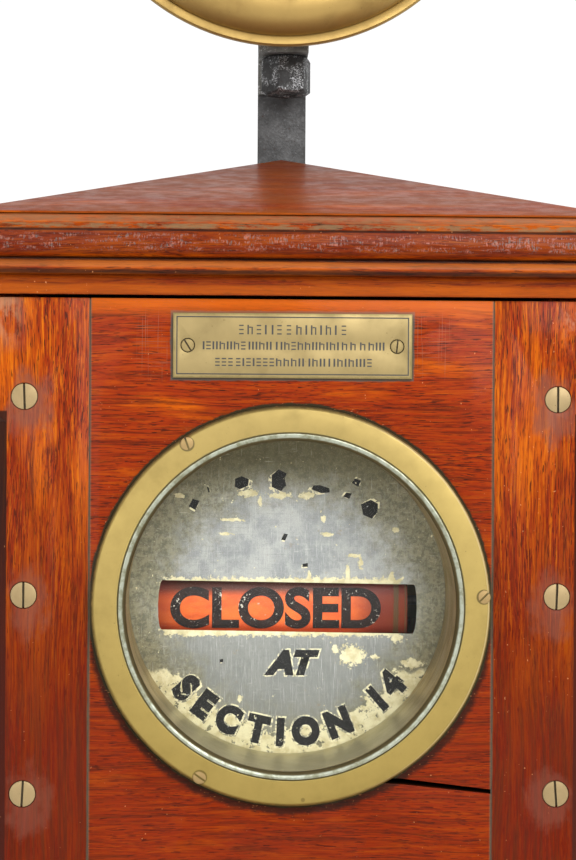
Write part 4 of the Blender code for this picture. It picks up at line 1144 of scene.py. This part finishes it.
UPPER_REMAINS = (  # middle (x, z from the dial's centre), turn, outline, and how far the cream is shifted
    ((-40, 42.7), -24, ((-1.6, -1.9), (1.7, -2.2), (1.5, 2.1), (-1.4, 1.7)), (-0.2, -0.7)),
    ((-34, 48.8), 22, ((-0.4, -1.3), (0.3, -1.2), (0.5, 1.4), (-0.2, 1.2)), (0.1, 0.2)),
    (
        (-20, 52),
        14,
        ((-3.1, -1.2), (-1.4, -2.8), (2.4, -2.2), (3.4, 0.4), (0.8, 2.4), (-2.2, 2)),
        (1.4, -0.7),
    ),
    (
        (-4, 53),
        -9,
        ((-2.6, -3.4), (1.6, -4.6), (3.4, -1.8), (2.2, 1.2), (2.8, 3.2), (-0.8, 4.4), (-3.4, 1.6)),
        (-1.2, -0.9),
    ),
    ((14, 49), -12, ((-4.2, -0.8), (0.4, -1.5), (3.8, -0.4), (3.2, 1.3), (-1, 1.7), (-3.6, 1)), (-1.4, -0.6)),
    ((29, 52.2), -28, ((-1.7, -1.2), (1.6, -1.4), (1.3, 1.4), (-1.4, 1.1)), (0.5, 0.6)),
    ((25.2, 46.8), -30, ((-1.2, -1.5), (1.5, -1.1), (1.2, 1.5), (-1, 0.6)), (-0.7, 0.2)),
    ((35, 41), -60, ((-3.6, -2.6), (0.8, -4), (4, -1.6), (2.8, 1.8), (-0.2, 3.8), (-3.2, 2)), (0.6, 0.6)),
    ((-1.6, 28.8), -22, ((-0.8, -1.6), (0.9, -1.3), (1, 1.6), (-0.7, 1.3)), (-0.3, -0.5)),
    ((7.4, 16.8), 8, ((-1.3, -0.6), (1, -0.8), (1.2, 0.8), (-1.1, 0.7)), (-0.3, -0.5)),
    ((-28, -24), 12, ((-0.8, -0.6), (0.7, -0.5), (0.9, 0.7), (-0.6, 0.8)), (0.2, -0.3)),
)


def upper_remains(finish):
    """Flakes of black on scraps of cream, where the dial's upper paint has gone."""
    grounds, scraps = [], []
    for (x, z), turn, outline, (cream_x, cream_z) in UPPER_REMAINS:
        rotation = Matrix.Rotation(math.radians(turn), 4, "Z")
        kinds = ((grounds, 1.06, 0.05, x + cream_x, z + cream_z), (scraps, 1.0, 0.1, x, z))
        for kept, grow, top, place_x, place_z in kinds:
            grown = [(px * grow, pz * grow) for px, pz in outline]
            mesh = extruded("scrap", grown, 0.0, top)
            mesh.transform(Matrix.Translation((place_x * MM, place_z * MM, 0)) @ rotation)
            kept.append(mesh)
    centre = facing_front(DIAL.x, DIAL_FRONT, DIAL.z - 4)
    for name, meshes, paint in (("upper_ground", grounds, "halo"), ("upper_scraps", scraps, "scrap")):
        show(name, mesh_from(name, joined(meshes)), finish[paint], "case", centre)


def wrapped(mesh, middle_x, angle, lift):
    """Bends flat letters round the flag, with their middle at this angle up from the front."""
    bm = bmesh.new()
    bm.from_mesh(mesh)
    bpy.data.meshes.remove(mesh)
    tall = max(v.co.y for v in bm.verts)
    cuts = 15
    for index in range(-cuts, cuts + 1):
        height = tall * index / cuts
        geometry = list(bm.verts) + list(bm.edges) + list(bm.faces)
        plane = {"plane_co": (0, height, 0), "plane_no": (0, 1, 0)}
        bmesh.ops.bisect_plane(bm, geom=geometry, dist=1e-8, **plane)
    for vertex in bm.verts:
        x, up, out = vertex.co
        radius = FLAG_RADIUS * MM + lift * MM + out
        turn = math.radians(angle) + up / (FLAG_RADIUS * MM)
        vertex.co.x = x + middle_x * MM
        vertex.co.y = FLAG_AXIS.y * MM - radius * math.cos(turn)
        vertex.co.z = FLAG_AXIS.z * MM + radius * math.sin(turn)
    return bm


def flag(finish):
    """The flag's two faces with their words, which turn with it."""
    refined("flag_sheet", finish["flag"], "flag_paint", 0.12)
    for word, angle, middle_x in zip(FLAG_WORDS, (-1.2, 43), (-5, -4)):
        flat = letter_mesh(word, 17.5, 0.035, narrow=1.0, thickness=0.06)
        target = (90 if word == FLAG_WORDS[0] else 64) * MM
        squeeze = target / width_of(flat)
        for vertex in flat.vertices:
            vertex.co.x *= squeeze
        bm = wrapped(flat, middle_x, angle, 0.02)
        mesh = mesh_from("flag_word", bm)
        show(f"flag_word_{word.lower()}", mesh, finish["flag_black"], "flag")


# Works


def wound(node, finish, wire=0.9):
    """A bobbin with its flanges and its close turns of covered wire."""
    bottom, top, centre = low(node), high(node), middle(node)
    radius = (top.x - bottom.x) / 2
    flange, core = 2.0, 4.0
    core_top = top.z - bottom.z
    head = core_top - (6 if node == "head_coil" else 2)
    cheeks = [(core, 0), (radius, 0), (radius, flange), (core, flange)]
    meshes = [turned("cheek", rounded(cheeks, 0.4), 64)]
    upper = [(core, head - flange), (radius, head - flange), (radius, head), (core, head)]
    meshes.append(turned("cheek", rounded(upper, 0.4), 64))
    place = standing(centre.x, centre.y, bottom.z)
    bobbin = mesh_from("bobbin", joined(meshes))
    show(node + "_bobbin", bobbin, finish["ebonite"], "case", place)
    pole = rounded([(0, 0), (core - 0.05, 0), (core - 0.05, core_top), (0, core_top)], 0.4)
    show(node + "_core", turned("core", pole, 48), finish["iron"], "case", place)
    turns = int((head - 2 * flange - 0.2) / wire)
    wire_profile = [(core + 0.1, flange + 0.1)]
    for turn_index in range(turns):
        start = flange + 0.1 + turn_index * wire
        for part in range(5):
            share = (part + 0.5) / 5
            bulge = math.sin(math.pi * share) * wire * 0.35
            wire_profile.append((radius - 1.9 + bulge, start + share * wire))
    wire_profile.append((core + 0.1, flange + 0.1 + turns * wire))
    mesh = turned(node + "_wire", wire_profile, 64)
    show(node + "_wire", mesh, finish["green"], "case", place, node)


def works(finish):
    """What lies inside the case and turns, rocks or slides there, and what drives it."""
    kinds = {"flag_frame": "tube", "magnet_yoke": "iron", "armature": "iron", "flag_shaft": "steel"}
    kinds |= {"lock_rod": "steel", "terminal_block": "ebonite", "contact_block": "ebonite"}
    slots = {"tube": "brass", "iron": "black_iron", "steel": "steel", "ebonite": "ebonite"}
    for node, paint in kinds.items():
        refined(node, finish[paint], slots[paint], 0.2)
    refined("contact_leaf", finish["tube"], "brass", 0.1)
    for node in ("coil_left", "coil_right", "head_coil"):
        wound(node, finish)
    for node in ("plunger_spring", "plunger_rod", "arm_spindle"):
        NODES[node].data.materials[0] = finish["steel"]
    terminals(finish)


def terminals(finish):
    """Milled nuts on the terminal block."""
    block_low, block_high = low("terminal_block"), high("terminal_block")
    count, profile = 5, [(0, 0), (3.6, 0), (3.6, 3.4), (2.2, 4.2), (2.2, 8), (0, 8)]
    meshes = []
    for index in range(count):
        x = block_low.x + (index + 0.5) * (block_high.x - block_low.x) / count
        nut = turned("nut", rounded(profile, 0.3), 32)
        nut.transform(facing_front(x, block_low.y - 0.02, (block_low.z + block_high.z) / 2))
        meshes.append(nut)
    show("terminal_nuts", mesh_from("terminal_nuts", joined(meshes)), finish["tube"])


def plunger(finish):
    """The push knob and its bush, turned finely."""
    axis = middle("plunger_bush")
    place = facing_front(axis.x, FACE, axis.z)
    flange = [(8, 0.3), (22, 0.3), (22, 3.3), (20.8, 4.3), (11.5, 4.3)]
    bush = [(4.8, -22), (8, -22), *flange, (10.5, 5), (9.5, 6), (4.8, 6)]
    fine("plunger_bush", turned("bush", rounded(bush, 0.6), 80), finish["tube"], "brass", place)
    dome = [(16.5 * math.sin(a), 33 + 7 * math.cos(a)) for a in (math.pi / 2 * s / 12 for s in range(13))]
    neck = [
        (16.5 - 7.5 * math.cos(a), 21.5 - 6 * math.sin(a) + 4)
        for a in (math.radians(-80 + 90 * s / 8) for s in range(9))
    ]
    knob = [*dome, (16.5, 31.2), (15.2, 29.6), *neck, (9.2, 15.5), (4.8, 15.5), (4.8, 32), (0, 32)]
    fine("plunger_knob", turned("knob", knob, 80), finish["knob"], "brass", place)


# Head


HEAD_NODES = (
    ("head_drum", "drum", "brass", 0.3),
    ("head_dial", "enamel", "enamel_dial", 0.15),
    ("semaphore_arm", "arm", "arm_paint", 0.15),
    ("strap", "iron", "black_iron", 0.6),
    ("head_bolt", "worn_iron", "black_iron", 0.3),
    ("head_nut", "worn_iron", "black_iron", 0.9),
    ("head_bracket", "bracket", "steel", 0.4),
)


def head(finish):
    """The upper case on its strap, with its bezel turned finely."""
    rim_y = high("head_bezel").y
    place = facing_front(HEAD.x, rim_y, HEAD.z)
    outer = high("head_bezel").x - HEAD.x
    bore, band = 81.0, outer - 4.7
    ovolo = [
        (bore + 2 + (band - bore - 2) * math.sin(a), 2.6 + 9.4 * math.cos(a))
        for a in (math.pi / 2 * s / 18 for s in range(19))
    ]
    profile = [(bore + 3, 0), (bore + 3, 7), (bore, 7), (bore, 11.4), (bore + 0.6, 12), *ovolo]
    profile += [(band, 3.2), (band + 0.8, 3.8), (outer - 0.8, 3.8), (outer, 3.0), (outer, 0.8)]
    profile.append((outer - 0.8, 0))
    fine("head_bezel", turned("head_bezel", profile, 160), finish["head"], "brass", place)
    glass_low, glass_high = low("head_glass"), high("head_glass")
    radius = (glass_high.x - glass_low.x) / 2
    thick = glass_high.y - glass_low.y
    pane = rounded([(0, 0), (radius, 0), (radius, thick), (0, thick)], 0.3)
    pane_place = facing_front(HEAD.x, glass_high.y, HEAD.z)
    fine("head_glass", turned("head_pane", pane), finish["glass"], "glass", pane_place)
    for node, paint, slot, soften in HEAD_NODES:
        refined(node, finish[paint], slot, soften)
    head_marks(finish)


def head_marks(finish):
    """The signal post and the scale that the small arm moves against."""
    dial_front = low("head_dial").y
    pivot = middle("arm_spindle")
    place = facing_front(HEAD.x, dial_front, HEAD.z)
    sunk, rise = -0.05, 0.06
    post_x, radius = pivot.x - HEAD.x, 72.0
    post = [(post_x - 4, -60), (post_x + 4, -60), (post_x + 3, 40), (post_x - 3, 40)]
    around = [math.tau * step / 20 for step in range(20)]
    finial = [(post_x + 4.5 * math.cos(a), 45 + 6 * math.sin(a)) for a in around]
    meshes = [extruded("post", post, sunk, rise), extruded("finial", finial, sunk, rise)]
    ring = [(radius, sunk), (radius + 1.0, sunk), (radius + 1.0, rise), (radius, rise)]
    meshes.append(turned("ring", ring))
    mark = [(radius - 4, -0.4), (radius - 0.1, -0.4), (radius - 0.1, 0.4), (radius - 4, 0.4)]
    for tick in range(0, 360, 30):
        bar = extruded("tick", mark, sunk, rise)
        bar.transform(Matrix.Rotation(math.radians(tick), 4, "Z"))
        meshes.append(bar)
    show("head_marks", mesh_from("head_marks", joined(meshes)), finish["ink"], "case", place)


# Studio


def studio():
    """A pale floor, a pale surround that is dimmer towards the front, and two soft lamps."""
    scene = bpy.context.scene
    scene.view_settings.view_transform = "Standard"
    scene.view_settings.look = "None"
    bm = bmesh.new()
    bmesh.ops.create_grid(bm, x_segments=2, y_segments=2, size=4)
    floor_mesh = bpy.data.meshes.new("floor")
    bm.to_mesh(floor_mesh)
    bm.free()
    floor = bpy.data.objects.new("floor", floor_mesh)
    floor.location.z = -0.0006
    scene.collection.objects.link(floor)
    pale = Graph("floor_paint", roughness=0.7)
    pale.colour = pale.mix(pale.noise(300, 3), (0.8, 0.8, 0.79), (0.84, 0.84, 0.83))
    floor_mesh.materials.append(pale.finish())

    world = bpy.data.worlds.new("surround")
    scene.world = world
    world.use_nodes = True
    nodes, links = world.node_tree.nodes, world.node_tree.links
    direction = nodes.new("ShaderNodeTexCoord").outputs["Generated"]
    lean = nodes.new("ShaderNodeVectorMath")
    lean.operation = "DOT_PRODUCT"
    links.new(direction, lean.inputs[0])
    lean.inputs[1].default_value = (0, 0.8, 0.6)
    fade = nodes.new("ShaderNodeMapRange")
    fade.interpolation_type = "SMOOTHSTEP"
    for socket, value in zip(fade.inputs, (None, -0.85, 0.45, FRONT_LIGHT, BACK_LIGHT)):
        if value is not None:
            socket.default_value = value
    links.new(lean.outputs["Value"], fade.inputs[0])
    background = nodes["Background"]
    background.inputs["Color"].default_value = (1, 1, 1, 1)
    links.new(fade.outputs[0], background.inputs["Strength"])

    aim = Vector((0, FACE, DIAL.z + 20)) * MM
    for name, place, size, power in LAMPS:
        lamp = bpy.data.lights.new(name, "AREA")
        lamp.shape = "RECTANGLE"
        lamp.size, lamp.size_y = size
        lamp.energy = power
        holder = bpy.data.objects.new(name, lamp)
        holder.location = place
        holder.rotation_euler = (aim - Vector(place)).to_track_quat("-Z", "Y").to_euler()
        scene.collection.objects.link(holder)


FRONT_LIGHT = 0.05
BACK_LIGHT = 1.05
LAMPS = (
    ("key", (0.55, -1.35, 0.95), (1.0, 0.8), 27),
    ("fill", (-0.75, -1.45, 0.7), (0.9, 0.9), 11),
)


def camera():
    """At the height of the name plate, square to the case."""
    lens = bpy.data.cameras.new("camera")
    lens.lens = 78.49
    lens.sensor_width = 36
    lens.clip_start = 0.01
    holder = bpy.data.objects.new("camera", lens)
    yaw, pitch, roll = -1.74, -0.17, 0.35
    turn = Matrix.Rotation(math.radians(yaw), 4, "Z") @ Matrix.Rotation(math.radians(90 + pitch), 4, "X")
    holder.matrix_world = (
        Matrix.Translation((-0.0245, -0.8460, 0.3086)) @ turn @ Matrix.Rotation(math.radians(roll), 4, "Z")
    )
    bpy.context.scene.collection.objects.link(holder)
    bpy.context.scene.camera = holder


def finishes():
    """Every material but the woods, by the name that the pieces ask for."""
    return {
        "bezel": brass("bezel_brass", linear(146, 126, 70), 0.5, 0.7, 0.25, bezel_wear),
        "silver": silvered("bead_silver"),
        "tube": brass("tube_brass", linear(168, 146, 98), 0.42, 0.7, 0.5, tube_wear),
        "plate": brass("plate_brass", linear(130, 113, 72), 0.5, 0.6, 0.3, plate_brass),
        "head": brass("head_brass", linear(146, 120, 66), 0.44, 0.7, 0.5),
        "drum": brass("drum_brass", linear(170, 142, 82), 0.42, 0.85, 0.6),
        "knob": brass("knob_brass", linear(210, 180, 104), 0.28, 0.95, 0.3),
        "screw": brass("screw_brass", linear(138, 118, 82), 0.5, 0.55, 0.35),
        "copper": brass("coppery_brass", linear(140, 116, 74), 0.45, 0.65, 0.4),
        "dust": plain_paint("joint_dust", (58, 50, 36), 0.9),
        "slot": plain_paint("slot_dirt", (70, 58, 36), 0.8),
        "glass": glass("old_glass"),
        "dial": dial_surface("dial_zinc"),
        "halo": halo_paint("cream_ground"),
        "black": letter_black("signwriter_black", 0.365),
        "scrap": letter_black("scrap_black", 0.3),
        "flag": flag_paint("flag_enamel"),
        "flag_black": flag_black("flag_letter_black"),
        "ink": plain_paint("engraver_wax", (28, 26, 22)),
        "iron": iron("strap_iron"),
        "worn_iron": iron("nut_iron", (70, 70, 70), worn=0.9),
        "bracket": iron("bracket_iron", (124, 126, 122), worn=0.6),
        "steel": steel("bright_steel"),
        "ebonite": ebonite("ebonite"),
        "green": winding("green_silk", (38, 92, 52)),
        "enamel": enamel("head_enamel"),
        "arm": arm_paint("arm_red"),
    }


camera()
studio()
FINISH = finishes()
case()
screws(FINISH)
front_metal(FINISH)
joint_dirt(FINISH)
name_plate(FINISH)
refined("dial_plate", FINISH["dial"], "zinc_dial", 0.15)
dial_letters(FINISH)
upper_remains(FINISH)
flag(FINISH)
works(FINISH)
plunger(FINISH)
head(FINISH)
